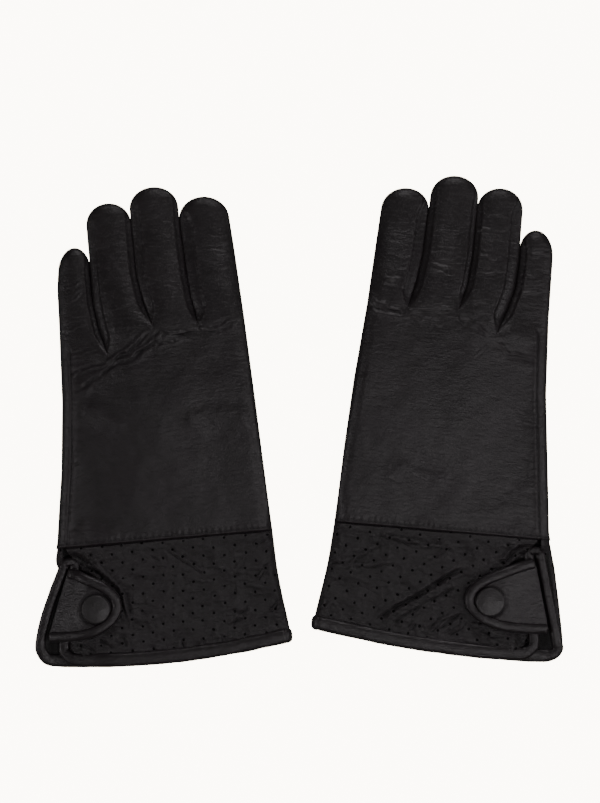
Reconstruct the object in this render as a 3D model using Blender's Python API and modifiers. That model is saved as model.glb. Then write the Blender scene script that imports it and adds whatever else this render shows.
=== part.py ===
"""A pair of black leather gloves lying palm down, fingers away from the viewer, thumbs tucked under.

Each glove is drawn in its own millimetre frame: the origin is the middle of the wrist seam, u runs across
the glove towards the little finger, v runs towards the fingertips and z points up. The pair's frame has
its origin on the surface below the middle of the pair, +X to the right and +Y towards the fingertips.
"""

import math

import bpy
import numpy as np
from mathutils import Vector

MM = 0.001

# Leather, lining and the clearance between neighbouring pieces
LEATHER = 0.8
LINING = 0.6
GAP = 0.35
LINING_INSET = LEATHER + GAP
LINING_SPARE = 0.5
FINGER_GAP = 1.1

# Heights of the lying glove
THUMB_HEIGHT = 6.2
PALM_OVER_THUMB = 6.7
HAND_THICK = 9.4
CUFF_THICK = 9.2
PALM_RISE_END = 17.0
LITTLE_SIDE_BOTTOM = 1.6
SLIT_DIP = 5.2
SLIT_DIP_WIDTH = 12.0

# Fingers
LIFT = math.radians(60)
TIP_ROUND = 12.0
TIP_EDGE = 4.0
TIP_HALF_HEIGHT = 3.6

# Bindings: half width in the plane of the edge they cover, and half thickness
HEM_HALF = 3.6
SLIT_HALF = 2.6
TAB_HALF = 2.7
BAND_THICK = 1.4
SLIT_LOOP = 2.9
BACK_LEG_HEIGHT = 3.6
PALM_LEG_HEIGHT = 4.1

# Tab and snap
TAB_THICK = 1.0
TAB_BASE_HALF = 17.5
TAB_HEIGHT = 13.05
CAP_RADIUS = 7.4
SOCKET_RADIUS = 5.0
STUD_RADIUS = 1.9
SNAP_STEPS = 16

# Rings of the hand and cuff run round from the lower little-finger side over the back to the index side
# and back below. These are the ring's column numbers, and the v of its rings between wrist and knuckles.
RING_COUNT = 26
SLIT_GAP = 2
SEAM_GAP = 6
STEP_TOP = 9
INDEX_GAP = 16
THUMB_HOLE = 20
STEP_BOTTOM = 24
THUMB_LEVEL = 28.0
PALM_LEVELS = (8.0, 17.0, THUMB_LEVEL, 45.0, 72.0)

# The cuff starts just below the wrist seam; its rings are shares of the way to the hem binding
CUFF_START = 0.9
CUFF_SHARES = (0.0, 0.07, 0.19, 0.42, 0.7, 1.0)
# The palm side of the cuff turns up at its outer edge: (distance in from the outline, height)
PALM_FOLD = ((2.2, 0.0), (0.2, 1.5), (0.0, 3.0))
PALM_FOLD_LINING = ((3.8, 1.15), (2.4, 1.25), (1.7, 1.6))

# Edges and finger gaps are (v, u) points from the hem to the fingertips
GLOVES = {
    "left": {
        "side": -1,
        "origin": (-67.9, -61.6),
        "turn": 5.0,
        "index_edge": ((-60, -57.0), (-38, -55.5), (0, -54.2), (40, -52.5), (76, -51.0), (115, -49.2),
                       (148, -47.2), (178, -45.0)),
        "index_middle": ((112.5, -25.3), (126, -22.0), (140, -20.4), (180, -19.0)),
        "middle_ring": ((112.5, -2.3), (125, 3.0), (140, 5.3), (185, 6.2)),
        "ring_little": ((100, 23.0), (112, 26.8), (126, 29.1), (160, 29.4)),
        "little_edge": ((-60, 75.5), (-47, 76.8), (-32, 71.0), (-14, 63.5), (4, 59.0), (40, 53.5),
                        (76, 50.0), (115, 48.2), (136, 47.6), (157, 44.5)),
        "knuckles": {"index": 112.5, "middle": 112.5, "ring": 112.5, "little": 100.0},
        "tips": {"index": 177.9, "middle": 185.0, "ring": 178.5, "little": 156.7},
        "hem": {"low": -60.9, "at": 12.0, "rise": 5.8, "span": 70.0},
        "apex": (54.0, -7.0),
        "back_leg_foot": (60.6, -51.0),
        "palm_leg": ((57.1, -11.0), (67.6, -33.0), (72.6, -49.0)),
        "outer_corner": (70.7, -57.0),
        "tab_base": ((55.7, -14.8), (69.0, -49.0)),
        "tab_tip": (27.4, -31.5),
        "snap": (41.0, -32.6),
    },
    "right": {
        "side": 1,
        "origin": (70.8, -57.1),
        "turn": -5.0,
        "index_edge": ((-60, -57.0), (-38, -55.2), (0, -52.5), (40, -51.0), (76, -49.0), (115, -45.6),
                       (148, -43.5), (180, -41.5)),
        "index_middle": ((116.5, -24.6), (130, -20.0), (145, -18.0), (180, -16.6)),
        "middle_ring": ((116.5, 1.7), (130, 6.3), (145, 7.4), (185, 8.3)),
        "ring_little": ((106, 23.2), (118, 27.5), (130, 31.2), (160, 31.6)),
        "little_edge": ((-62, 74.5), (-50, 73.0), (-32, 69.5), (-14, 65.6), (4, 60.5), (40, 56.5),
                        (76, 52.5), (115, 50.4), (148, 50.0), (162, 48.5)),
        "knuckles": {"index": 116.5, "middle": 116.5, "ring": 116.5, "little": 106.0},
        "tips": {"index": 178.1, "middle": 186.6, "ring": 182.1, "little": 161.7},
        "hem": {"low": -60.6, "at": 35.0, "rise": 7.6, "span": 92.0},
        "apex": (54.0, -5.5),
        "back_leg_foot": (57.4, -50.5),
        "palm_leg": ((57.2, -10.0), (64.0, -33.0), (69.2, -51.0)),
        "outer_corner": (69.0, -59.0),
        "tab_base": ((55.0, -14.2), (65.2, -49.5)),
        "tab_tip": (18.5, -33.6),
        "snap": (32.0, -34.0),
    },
}

FINGERS = ("index", "middle", "ring", "little")
FINGER_EDGES = {
    "index": ("index_edge", "index_middle"),
    "middle": ("index_middle", "middle_ring"),
    "ring": ("middle_ring", "ring_little"),
    "little": ("ring_little", "little_edge"),
}
# Which sides of each finger carry a fourchette: -1 towards the index finger, +1 towards the little one
FOURCHETTES = {"index": (1,), "middle": (-1, 1), "ring": (-1, 1), "little": (-1,)}

THUMB_PIVOT = (-32.0, 36.0)
THUMB_HEADING = math.radians(14.5)
THUMB_LENGTH = 63.0
THUMB_ROOT = 15.0
THUMB_WIDTH = 27.0

COLOURS = {
    "leather": ((0.012, 0.0105, 0.011), 0.42, 0.0),
    "perforated": ((0.014, 0.0125, 0.013), 0.45, 0.0),
    "binding": ((0.012, 0.0105, 0.011), 0.34, 0.0),
    "lining": ((0.02, 0.018, 0.018), 0.95, 0.0),
    "metal": ((0.08, 0.08, 0.085), 0.35, 1.0),
}


def smooth(x):
    x = min(max(x, 0.0), 1.0)
    return x * x * (3 - 2 * x)


def along(knots, v):
    return float(np.interp(v, [k[0] for k in knots], [k[1] for k in knots]))


def through(points, t):
    """A point at t (0 to 1) on the quadratic through three points."""
    a, b, c = (np.array(p, float) for p in points)
    return a * (1 - t) * (1 - 2 * t) + b * 4 * t * (1 - t) + c * t * (2 * t - 1)


def material(kind):
    name = kind
    if name in bpy.data.materials:
        return bpy.data.materials[name]
    colour, roughness, metallic = COLOURS[kind]
    made = bpy.data.materials.new(name)
    made.use_nodes = True
    shader = made.node_tree.nodes["Principled BSDF"]
    shader.inputs["Base Color"].default_value = (*colour, 1.0)
    shader.inputs["Roughness"].default_value = roughness
    shader.inputs["Metallic"].default_value = metallic
    return made


class Glove:
    """One glove's frame, its parts collection and the surfaces that its pieces are cut from."""

    def __init__(self, name, collection):
        self.name = name
        self.data = GLOVES[name]
        self.side = self.data["side"]
        self.collection = collection
        x, y = self.data["origin"]
        self.base = self.empty("frame", (0, 0, 0))
        self.base.location = (x * MM, y * MM, 0)
        self.base.rotation_euler = (0, 0, math.radians(self.data["turn"]))

    def local(self, point):
        u, v, z = point
        return Vector((self.side * u * MM, v * MM, z * MM))

    def empty(self, name, point):
        made = bpy.data.objects.new(f"{self.name}_{name}", None)
        made.empty_display_size = 0.01
        self.collection.objects.link(made)
        if name != "frame":
            made.parent = self.base
            made.location = self.local(point)
        return made

    def add(self, name, points, faces, kind, parent=None, thickness=None):
        """An object from points and faces in glove millimetres; a thickness makes an open skin a solid."""
        parent = parent or self.base
        origin = Vector() if parent == self.base else parent.location
        used = sorted({i for f in faces for i in f})
        index = {old: new for new, old in enumerate(used)}
        mesh = bpy.data.meshes.new(f"{self.name}_{name}")
        faces = [[index[i] for i in (f if self.side > 0 else f[::-1])] for f in faces]
        mesh.from_pydata([self.local(points[i]) - origin for i in used], [], faces)
        mesh.materials.append(material(kind))
        mesh.shade_smooth()
        mesh.set_sharp_from_angle(angle=math.radians(40))
        made = bpy.data.objects.new(f"{self.name}_{name}", mesh)
        made.parent = parent
        self.collection.objects.link(made)
        if thickness:
            solid = made.modifiers.new("Thickness", "SOLIDIFY")
            solid.thickness = thickness * MM
            solid.offset = -1
            solid.use_even_offset = True
            solid.thickness_clamp = 1.0
        return made

    # Surfaces

    def slit_opening(self, v):
        """Half the width of the opening that the cuff leather leaves for the slit's binding."""
        apex_v = self.data["apex"][1]
        knots = ((apex_v - 3, SLIT_HALF + SLIT_LOOP + 0.8), (apex_v + 3.1, 3.6), (-0.4, 0.3))
        return along(knots, v)

    def back_edge(self, v):
        """Where the back of the cuff ends, beside the slit."""
        u, apex_v = self.data["apex"]
        foot_u, foot_v = self.data["back_leg_foot"]
        shift = (foot_u - (u - SLIT_LOOP)) * max(0.0, (apex_v - 3 - v) / (apex_v - 3 - foot_v))
        return u - self.slit_opening(v) + shift

    def palm_edge(self, v):
        """Where the palm side of the cuff ends, on the outer side of the slit."""
        u, apex_v = self.data["apex"]
        if v > apex_v - 4:
            return u + self.slit_opening(v)
        leg = self.data["palm_leg"]
        t = min((leg[0][1] - v) / (leg[0][1] - leg[2][1]), 1.12)
        return float(through(leg, t)[0]) + SLIT_HALF + GAP

    def bottom(self, u, v):
        """Height of the underside of the palm."""
        rise = smooth(v / PALM_RISE_END)
        across = smooth((u - 8) / 36)
        high = PALM_OVER_THUMB * (1 - across) + LITTLE_SIDE_BOTTOM * across
        return rise * high

    def top(self, u, v):
        """Height of the back of the glove."""
        if v >= 0:
            return self.bottom(u, v) + CUFF_THICK + (HAND_THICK - CUFF_THICK) * smooth(v / 30)
        edge = self.back_edge(v)
        dip = smooth(-v / 8) * (1 - smooth((edge - u) / SLIT_DIP_WIDTH))
        return CUFF_THICK - SLIT_DIP * dip

    def hem(self, u):
        """The v of the hem binding's centre line."""
        h = self.data["hem"]
        return h["low"] + h["rise"] * ((u - h["at"]) / h["span"]) ** 2

    def finger_sides(self, finger, v):
        """The finger's two edges at v, half a gap inside the lines it shares with its neighbours."""
        low, high = FINGER_EDGES[finger]
        left = along(self.data[low], v) + (FINGER_GAP / 2 if low != "index_edge" else 0)
        right = along(self.data[high], v) - (FINGER_GAP / 2 if high != "little_edge" else 0)
        return left, right

    def knuckle(self, finger):
        """The middle of the finger's hinge line."""
        v = self.data["knuckles"][finger]
        left, right = self.finger_sides(finger, v)
        u = (left + right) / 2
        return u, v, self.bottom(u, v) + HAND_THICK / 2


# Sections

SIDE_STEPS = ((2.6, 0.86), (0.8, 0.55), (0.06, 0.07))
FINGER_RING = (
    (1.0, -0.38), (1.0, 0.38),
    (0.96, 0.68), (0.62, 0.98), (-0.62, 0.98), (-0.96, 0.68),
    (-1.0, 0.38), (-1.0, -0.38),
    (-0.96, -0.68), (-0.62, -0.98), (0.62, -0.98), (0.96, -0.68),
)
OVAL_RING = tuple(
    (math.copysign(abs(math.cos(a)) ** 0.7, math.cos(a)), math.copysign(abs(math.sin(a)) ** 0.8, math.sin(a)))
    for a in (2 * math.pi * (i + 0.5) / 8 for i in range(8))
)


def quads(rows, columns, keep, wrap=True):
    """The faces between neighbouring rows and columns for which keep(row, column) is true."""
    faces = []
    for j in range(rows - 1):
        for i in range(columns if wrap else columns - 1):
            if keep(j, i):
                k = (i + 1) % columns
                faces.append([j * columns + i, (j + 1) * columns + i, (j + 1) * columns + k, j * columns + k])
    return faces


def end_caps(rows, count, first=False):
    """The face that closes the last ring and, if first is true, the one that closes the first."""
    last = (rows - 1) * count
    caps = [[last + i for i in reversed(range(count))]]
    if first:
        caps.append(list(range(count)))
    return caps


def flatten(rows):
    return [p for row in rows for p in row]


# Fingers

def from_end(distance, inset, round_length):
    """Distance from a closed end, moved inwards for an inner skin without changing where the end starts."""
    spare = inset * 2.2 + 0.2
    return spare + distance * (1 - spare / round_length) if distance < round_length else distance


def finger_rows(glove, finger, inset, ring):
    """Rings of points down a finger, from its knuckle to its tip."""
    centre_u, hinge, pivot = glove.knuckle(finger)
    tip = glove.data["tips"][finger]
    root_bottom = pivot - HAND_THICK / 2
    length = tip - hinge
    rows = []
    for number, station in enumerate(finger_stations(length)):
        from_tip = from_end(length - station, inset, TIP_ROUND)
        v = tip - from_tip
        share = (v - hinge) / length
        left, right = glove.finger_sides(finger, v)
        half = (right - left) / 2 * math.sqrt(1 - (1 - min(from_tip / TIP_ROUND, 1)) ** 2)
        thick = HAND_THICK / 2 + (TIP_HALF_HEIGHT - HAND_THICK / 2) * share
        middle = root_bottom * (1 - smooth(share * 1.15)) + thick
        thick *= math.sqrt(1 - (1 - min(from_tip / TIP_EDGE, 1)) ** 2)
        row = []
        for x, z in ring:
            height = middle + z * max(thick - inset, 0.25)
            notch = max(0.0, height - pivot) * math.tan(LIFT / 2) if number == 0 else 0.0
            row.append(((left + right) / 2 + x * max(half - inset, 0.5), v + notch, height))
        rows.append(row)
    return rows


def finger_stations(length):
    """Distances from the hinge line to each ring; the last five round the tip off."""
    near_tip = [length - share * TIP_ROUND for share in (1.0, 0.92, 0.45, 0.15, 0.0)]
    return [GAP / 2, length * 0.2, length * 0.45, *near_tip]


def make_finger(glove, finger, parent):
    """The finger's leather: the trank's top and bottom leaf joined round the tip, and its fourchettes."""
    rows = finger_rows(glove, finger, 0.0, FINGER_RING)
    count = len(FINGER_RING)
    shoulder = len(rows) - 5
    strips = {1: (11, 0, 1), -1: (5, 6, 7)}
    sides = FOURCHETTES[finger]
    open_columns = {c for s in sides for c in strips[s]}

    def leaf(j, i):
        return j > shoulder or i not in open_columns

    faces = quads(len(rows), count, leaf)
    faces += end_caps(len(rows), count)
    glove.add(f"{finger}_leaf", flatten(rows), faces, "leather", parent, LEATHER)
    for side in sides:
        column = strips[side][1]
        wall = quads(len(rows), count, lambda j, i, c=column: i == c and j < shoulder)
        where = "little_side" if side > 0 else "index_side"
        glove.add(f"{finger}_fourchette_{where}", flatten(rows), wall, "leather", parent, LEATHER)


def make_finger_lining(glove, finger, parent):
    rows = finger_rows(glove, finger, LINING_INSET, OVAL_RING)
    count = len(OVAL_RING)
    faces = quads(len(rows), count, lambda j, i: True)
    faces += end_caps(len(rows), count)
    glove.add(f"{finger}_lining", flatten(rows), faces, "lining", parent, LINING)


# Hand and cuff

def hand_columns(glove):
    """Across positions of the inner columns at the knuckle line, from the little finger to the index."""
    little, ring, middle = (glove.data[edge][0][1] for edge in ("ring_little", "middle_ring", "index_middle"))
    outer = (little + glove.data["little_edge"][-3][1]) / 2 - 2
    return [outer, little, (little + ring) / 2, ring, middle]


def hand_row(glove, v_of, inset):
    """One closed ring of the hand or cuff. v_of(u, z) gives v, because the hem and the knuckles aren't straight."""
    columns = hand_columns(glove)
    knuckle_low = along(glove.data["index_edge"], 115)
    knuckle_high = along(glove.data["little_edge"], 115)

    def point(place, height):
        u_guess = place if isinstance(place, float) else 0.0
        v = v_of(u_guess, height)
        low, high = along(glove.data["index_edge"], v), along(glove.data["little_edge"], v)
        if isinstance(place, float):
            if v < -0.2 and height > 0:
                high = glove.back_edge(v)
            u = low + (high - low) * (place - knuckle_low) / (knuckle_high - knuckle_low)
        elif place[0] == "index":
            u = low + place[1] + inset
        elif place[0] == "little":
            u = high - place[1] - inset
            if v < -0.2 and height > 0:
                u = glove.back_edge(v) - place[1] - inset * 0.4
        else:
            u = high
        v = v_of(u, height)
        bottom, top = glove.bottom(u, v), glove.top(u, v)
        middle, half = (bottom + top) / 2, (top - bottom) / 2
        spare = LINING_SPARE if inset and isinstance(place, float) else 0.0
        z = middle + height * (half - inset - spare)
        if not isinstance(place, float) and v < -0.2 and place[0] == "little" and height > 0:
            z = top - inset - (1 - height) * 0.6
        return (u, v, z)

    ring = []
    for step, height in SIDE_STEPS:
        ring.append(point(("little", step), -height))
    for step, height in SIDE_STEPS[::-1]:
        ring.append(point(("little", step), height))
    ring.append(point(("little", 5.0), 0.97))
    ring.append(point(("little", 5.7), 0.98))
    for u in columns:
        ring.append(point(float(u), 1.0))
    ring.append(point(("index", 9.0), 1.0))
    for step, height in SIDE_STEPS:
        ring.append(point(("index", step), height))
    for step, height in SIDE_STEPS[::-1]:
        ring.append(point(("index", step), -height))
    ring.append(point(("index", 9.0), -1.0))
    for u in columns[::-1]:
        ring.append(point(float(u), -1.0))
    return ring


def knuckle_v(glove, z, finger):
    _, hinge, pivot = glove.knuckle(finger)
    notch = max(0.0, z - pivot) * math.tan(LIFT / 2)
    return hinge - GAP / 2 - notch


def hand_rings(glove, levels, inset):
    """Rings from the wrist to the knuckles: the last but one ends at the little finger, the last at the others."""
    little, others = glove.data["knuckles"]["little"], glove.data["knuckles"]["ring"]
    rows = [hand_row(glove, lambda u, h, v=v: v, inset) for v in levels]
    for hinge in (little, others):
        row = hand_row(glove, lambda u, h, v=hinge: v - GAP / 2, inset)
        rows.append(row)
    edge = glove.data["ring_little"][0][1]
    for number, row in ((-2, rows[-2]), (-1, rows[-1])):
        for i, (u, v, z) in enumerate(row):
            finger = "little" if number == -2 else "ring"
            if number == -1 or i <= STEP_TOP or i >= STEP_BOTTOM:
                back = inset * 0.8 if number == -2 else 0.0
                row[i] = (u, knuckle_v(glove, z, finger) - back, z)
    for row in rows[-2:]:
        for i in (STEP_TOP, STEP_BOTTOM):
            u, v, z = row[i]
            row[i] = (edge - GAP - inset * 1.8, v, z)
    return rows


def hand_faces(rows, keep):
    """Quads of a hand ring set, with the knuckle block narrower than the palm and closed at its side."""
    block = len(rows) - 2

    def wanted(j, i):
        if j == block and not STEP_TOP <= i < STEP_BOTTOM:
            return False
        return keep(j, i)

    faces = quads(len(rows), RING_COUNT, wanted)
    a, b = block * RING_COUNT, (block + 1) * RING_COUNT
    faces.append([a + STEP_BOTTOM, b + STEP_BOTTOM, b + STEP_TOP, a + STEP_TOP])
    return faces


def make_trank(glove):
    """Back, index side and palm of the hand: one piece of leather, folded at the index side."""
    levels = [GAP / 2, *PALM_LEVELS]
    rows = hand_rings(glove, levels, 0.0)
    thumb_row = levels.index(THUMB_LEVEL)
    faces = hand_faces(rows, lambda j, i: i != SEAM_GAP and not (j == thumb_row and i == THUMB_HOLE))
    glove.add("trank", flatten(rows), faces, "leather", None, LEATHER)


def cuff_row(glove, share, inset):
    """A cuff ring between the wrist seam (share 0) and the inner edge of the hem binding (share 1)."""
    def v_of(u, height):
        low = glove.hem(u) + HEM_HALF + GAP
        return -CUFF_START + (low + CUFF_START) * share

    row = hand_row(glove, v_of, inset)
    v = row[SLIT_GAP][1]
    if inset or v < glove.data["apex"][1]:
        edge = along(glove.data["little_edge"], v)
        for i, (step, z) in enumerate(PALM_FOLD_LINING if inset else PALM_FOLD):
            above = inset > 0 and v > glove.data["apex"][1] - 3
            u, z = (edge - step - 3.2, z + 0.3) if above else (edge - step, z)
            if i == SLIT_GAP and not inset:
                u = max(u, glove.palm_edge(v) + 0.1)
            row[i] = (u, v, z)
    else:
        row[SLIT_GAP] = (glove.palm_edge(v), v, 4.0 + 4.3 * (1 - smooth(-v / 4)) - inset)
    return row


def make_cuff(glove):
    rows = [cuff_row(glove, share, 0.0) for share in reversed(CUFF_SHARES)]
    back = quads(len(rows), RING_COUNT, lambda j, i: SLIT_GAP < i < INDEX_GAP)
    palm = quads(len(rows), RING_COUNT, lambda j, i: i > INDEX_GAP or i < SLIT_GAP)
    glove.add("cuff_back", flatten(rows), back, "perforated", None, LEATHER)
    glove.add("cuff_palm", flatten(rows), palm, "perforated", None, LEATHER)


def make_hand_lining(glove):
    """A tube from the hem to the knuckles, open along the slit."""
    cuff = [cuff_row(glove, share, LINING_INSET) for share in reversed(CUFF_SHARES)]
    rows = cuff + hand_rings(glove, [GAP / 2, *PALM_LEVELS], LINING_INSET)
    thumb_row = len(cuff) + 1 + PALM_LEVELS.index(THUMB_LEVEL)
    faces = hand_faces(rows, lambda j, i: not (
        (j < len(cuff) and i == SLIT_GAP) or (j == thumb_row and i == THUMB_HOLE)))
    glove.add("hand_lining", flatten(rows), faces, "lining", None, LINING)


# Thumb

def thumb_rows(inset, ring, stations):
    """Rings along the thumb, from behind its pivot to its tip."""
    heading = (math.sin(THUMB_HEADING), math.cos(THUMB_HEADING))
    across = (heading[1], -heading[0])
    rows = []
    for s in stations:
        root = from_end(s + THUMB_ROOT, inset, THUMB_ROOT)
        tip = from_end(THUMB_LENGTH - s, inset, TIP_ROUND)
        s = root - THUMB_ROOT if root < THUMB_ROOT else THUMB_LENGTH - tip
        half = THUMB_WIDTH / 2 * (1 - 0.1 * smooth(s / THUMB_LENGTH))
        half *= math.sqrt(1 - (1 - min(root / THUMB_ROOT, 1)) ** 2)
        half *= math.sqrt(1 - (1 - min(tip / TIP_ROUND, 1)) ** 2)
        thick = THUMB_HEIGHT / 2 * math.sqrt(1 - (1 - min(root / TIP_EDGE, tip / TIP_EDGE, 1)) ** 2)
        row = []
        for x, z in ring:
            offset = x * max(half - inset, 0.5)
            u = THUMB_PIVOT[0] + s * heading[0] + offset * across[0]
            v = THUMB_PIVOT[1] + s * heading[1] + offset * across[1]
            row.append((u, v, THUMB_HEIGHT / 2 + z * max(thick - inset, 0.25)))
        rows.append(row)
    return rows


def make_thumb(glove, parent):
    stations = [-15, -13, -8, 8, 30, 51, 57, 61, 63]
    for name, inset, ring, kind, thickness in (
        ("thumb", 0.0, FINGER_RING, "leather", LEATHER),
        ("thumb_lining", LINING_INSET, OVAL_RING, "lining", LINING),
    ):
        rows = thumb_rows(inset, ring, stations)
        count = len(ring)
        top = 3 if ring is FINGER_RING else 1
        faces = quads(len(rows), count, lambda j, i, t=top: not (j == 2 and i == t))
        faces += end_caps(len(rows), count, first=True)
        glove.add(name, flatten(rows), faces, kind, parent, thickness)


# Bindings

def band(glove, name, path, parent=None):
    """A rolled edge binding: an oval section carried along a path of (point, across, half width)."""
    rows = []
    points = [np.array(p, float) for p, _, _ in path]
    for number, (_, across, half) in enumerate(path):
        before, after = points[max(number - 1, 0)], points[min(number + 1, len(points) - 1)]
        tangent = (after - before) / np.linalg.norm(after - before)
        across = np.array(across, float)
        across -= tangent * (across @ tangent)
        across /= np.linalg.norm(across)
        up = np.cross(tangent, across)
        rows.append([tuple(points[number] + x * half * across + z * BAND_THICK * up) for x, z in OVAL_RING])
    count = len(OVAL_RING)
    faces = quads(len(rows), count, lambda j, i: True) + end_caps(len(rows), count, first=True)
    glove.add(name, flatten(rows), [f[::-1] for f in faces], "binding", parent)


def arc(centre, radius, start, end, steps):
    """Points on an arc, angles in degrees, with the outward direction at each."""
    made = []
    for i in range(steps + 1):
        a = math.radians(start + (end - start) * i / steps)
        out = (math.cos(a), math.sin(a))
        made.append(((centre[0] + radius * out[0], centre[1] + radius * out[1]), out))
    return made


def make_cuff_binding(glove):
    """The binding of the hem and slit in one length: back hem, slit, apex, slit, palm hem, index fold."""
    data = glove.data
    fold_u = along(data["index_edge"], -55) + 3.2
    z_back, z_palm = CUFF_THICK - 0.2, BAND_THICK
    z_corner = z_back - 3.4
    foot_u, foot_v = data["back_leg_foot"]
    apex_u, apex_v = data["apex"]
    path = []
    for u in np.linspace(fold_u, foot_u - 8, 8):
        dip = smooth((u - foot_u + 22) / 18)
        path.append(((u, glove.hem(u), z_back + (z_corner - z_back) * dip), (0, 1, 0), HEM_HALF))
    corner_v = glove.hem(foot_u - 4) + 7
    for t, (point, out) in zip((0.3, 0.6, 0.85), arc((foot_u - 7, corner_v), 7, -65, -5, 2)):
        half = HEM_HALF + (SLIT_HALF - HEM_HALF) * t
        path.append(((point[0], point[1], z_corner - 1.2 * t), (-out[0], -out[1], 0), half))
    top = apex_v - SLIT_LOOP
    for t in (0.25, 0.5, 0.75):
        v = corner_v + 2 + (top - corner_v - 2) * t
        u = foot_u + (apex_u - SLIT_LOOP - foot_u) * t
        path.append(((u, v, BACK_LEG_HEIGHT), (-1, 0, 0), SLIT_HALF))
    for number, (point, out) in enumerate(arc((apex_u, top), SLIT_LOOP, 180, 0, 6)):
        height = BACK_LEG_HEIGHT + (PALM_LEG_HEIGHT - BACK_LEG_HEIGHT) * number / 6
        path.append(((*point, height), (*out, 0), SLIT_HALF))
    for t in (0.3, 0.6, 1.0):
        u, v = through(data["palm_leg"], t)
        path.append(((u, v, PALM_LEG_HEIGHT), (1, 0.3, 0), SLIT_HALF))
    corner = data["outer_corner"]
    path.append(((corner[0] + 1.2, corner[1] + 2.6, 3.4), (0.8, -0.5, 0), SLIT_HALF + 0.3))
    path.append(((corner[0] - 1.6, corner[1] - 0.6, 2.7), (0.4, -0.9, 0), SLIT_HALF + 0.6))
    for u in np.linspace(corner[0] - 8, fold_u, 8):
        path.append(((u, glove.hem(u) - 0.8, z_palm), (0, -1, 0), HEM_HALF))
    radius = (z_back - z_palm) / 2
    for point, _ in arc((fold_u, z_palm + radius), radius, -120, -250, 4):
        path.append(((point[0], glove.hem(fold_u), point[1]), (0, -1, 0), HEM_HALF))
    path.append(((fold_u - GAP, glove.hem(fold_u), z_back), (0, -1, 0), HEM_HALF))
    band(glove, "cuff_binding", path)


# Tab and snap

class Tab:
    """The closing tab: a D-shaped flap from the palm side of the slit over the back of the cuff."""

    def __init__(self, glove):
        data = glove.data
        self.near, self.far = (np.array(p, float) for p in data["tab_base"])
        self.base = (self.near + self.far) / 2
        self.tip = np.array(data["tab_tip"], float)
        self.reach = np.linalg.norm(self.tip - self.base)

    def point(self, s, r, shrink=0.0):
        """s runs from the base (0) to the tip (1), r from -1 to 1 across; shrink pulls the edge in."""
        share = 1 - shrink / self.reach
        half = (TAB_BASE_HALF - shrink) * (1 - (s * 0.999) ** 2.6) ** 0.52
        turn = smooth(s / 0.6)
        along_base = (self.near - self.far) / np.linalg.norm(self.near - self.far)
        across = along_base * (1 - turn) + np.array((0.0, 1.0)) * turn
        across /= np.linalg.norm(across)
        p = self.base + (self.tip - self.base) * s * share + across * half * r
        return (p[0], p[1], self.height(s * share))

    def height(self, s):
        """The middle of the tab's leather climbs over the slit's inner binding to the snap."""
        flat = TAB_HEIGHT
        return along(((0, 5.9), (0.06, 7.2), (0.14, 8.2), (0.3, 10.4), (0.43, flat), (0.8, flat), (1, flat - 1)), s)


def make_tab(glove, parent):
    tab = Tab(glove)
    shares = (0.0, 0.08, 0.16, 0.32, 0.5, 0.68, 0.84, 0.95, 1.0)
    sides = (-1, -0.5, 0, 0.5, 1)
    inner = TAB_HALF * 2 + GAP + 1.2
    rows = []
    for s in shares:
        row = [tab.point(s, r, inner) for r in sides]
        rows.append([(u, v, z + TAB_THICK / 2) for u, v, z in row])
    faces = quads(len(rows) - 1, len(sides), lambda j, i: True, wrap=False)
    glove.add("tab", flatten(rows[:-1]), [f[::-1] for f in faces], "leather", parent, TAB_THICK)
    path = []
    edge = [(s, -1) for s in (0.0, 0.08, 0.16, 0.32, 0.5, 0.68, 0.82, 0.92, 0.975)] + [(1.0, 0)]
    edge += [(s, 1) for s, _ in edge[-2::-1]]
    points = [np.array(tab.point(s, r, TAB_HALF)) for s, r in edge]
    for number, point in enumerate(points):
        before, after = points[max(number - 1, 0)], points[min(number + 1, len(points) - 1)]
        tangent = after - before
        path.append((point, (tangent[1], -tangent[0], 0), TAB_HALF))
    band(glove, "tab_binding", path, parent)
    return tab


def turned(glove, name, profile, centre, kind, parent):
    """A round piece: a profile of (radius, height) down its outer side, turned about the vertical."""
    mesh = bpy.data.meshes.new(f"{glove.name}_{name}")
    origin = Vector() if parent == glove.base else parent.location
    mesh.from_pydata([Vector((r * MM, 0, z * MM)) for r, z in profile], [(i, i + 1) for i in range(len(profile) - 1)], [])
    mesh.materials.append(material(kind))
    made = bpy.data.objects.new(f"{glove.name}_{name}", mesh)
    made.parent = parent
    made.location = glove.local(centre) - origin
    glove.collection.objects.link(made)
    turn = made.modifiers.new("Turn", "SCREW")
    turn.steps = turn.render_steps = SNAP_STEPS
    turn.use_merge_vertices = True
    turn.merge_threshold = 0.00001
    turn.use_smooth_shade = True
    return made


def make_snap(glove, tab_parent):
    """Covered cap and socket on the tab; stud and its back plate on the cuff."""
    u, v = glove.data["snap"]
    cap = [(0, 2.4), (3.6, 2.2), (6.4, 1.5), (CAP_RADIUS, 0.5), (CAP_RADIUS - 0.5, 0), (0, 0)]
    turned(glove, "snap_cap", cap, (u, v, TAB_HEIGHT + TAB_THICK / 2 + GAP), "binding", tab_parent)
    bore = STUD_RADIUS + 1.0
    socket = [(0, 0), (SOCKET_RADIUS, 0), (SOCKET_RADIUS, -0.9), (bore + 0.8, -2.0), (bore, -2.0),
              (bore, -0.5), (0, -0.5)]
    turned(glove, "snap_socket", socket, (u, v, TAB_HEIGHT - TAB_THICK / 2 - GAP), "metal", tab_parent)
    stud = [(0, 1.45), (1.2, 1.45), (STUD_RADIUS, 1.1), (1.4, 0.5), (4.4, 0.4), (4.4, 0), (0, 0)]
    turned(glove, "snap_stud", stud, (u, v, glove.top(u, v) + GAP), "metal", glove.base)
    plate = [(0, 0), (3.6, 0), (4.0, -0.2), (4.0, -0.4), (0, -0.4)]
    inside = glove.top(u + 6, v) - LINING_INSET - LINING_SPARE - LINING - GAP
    turned(glove, "snap_post", plate, (u, v, inside), "metal", glove.base)


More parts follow.
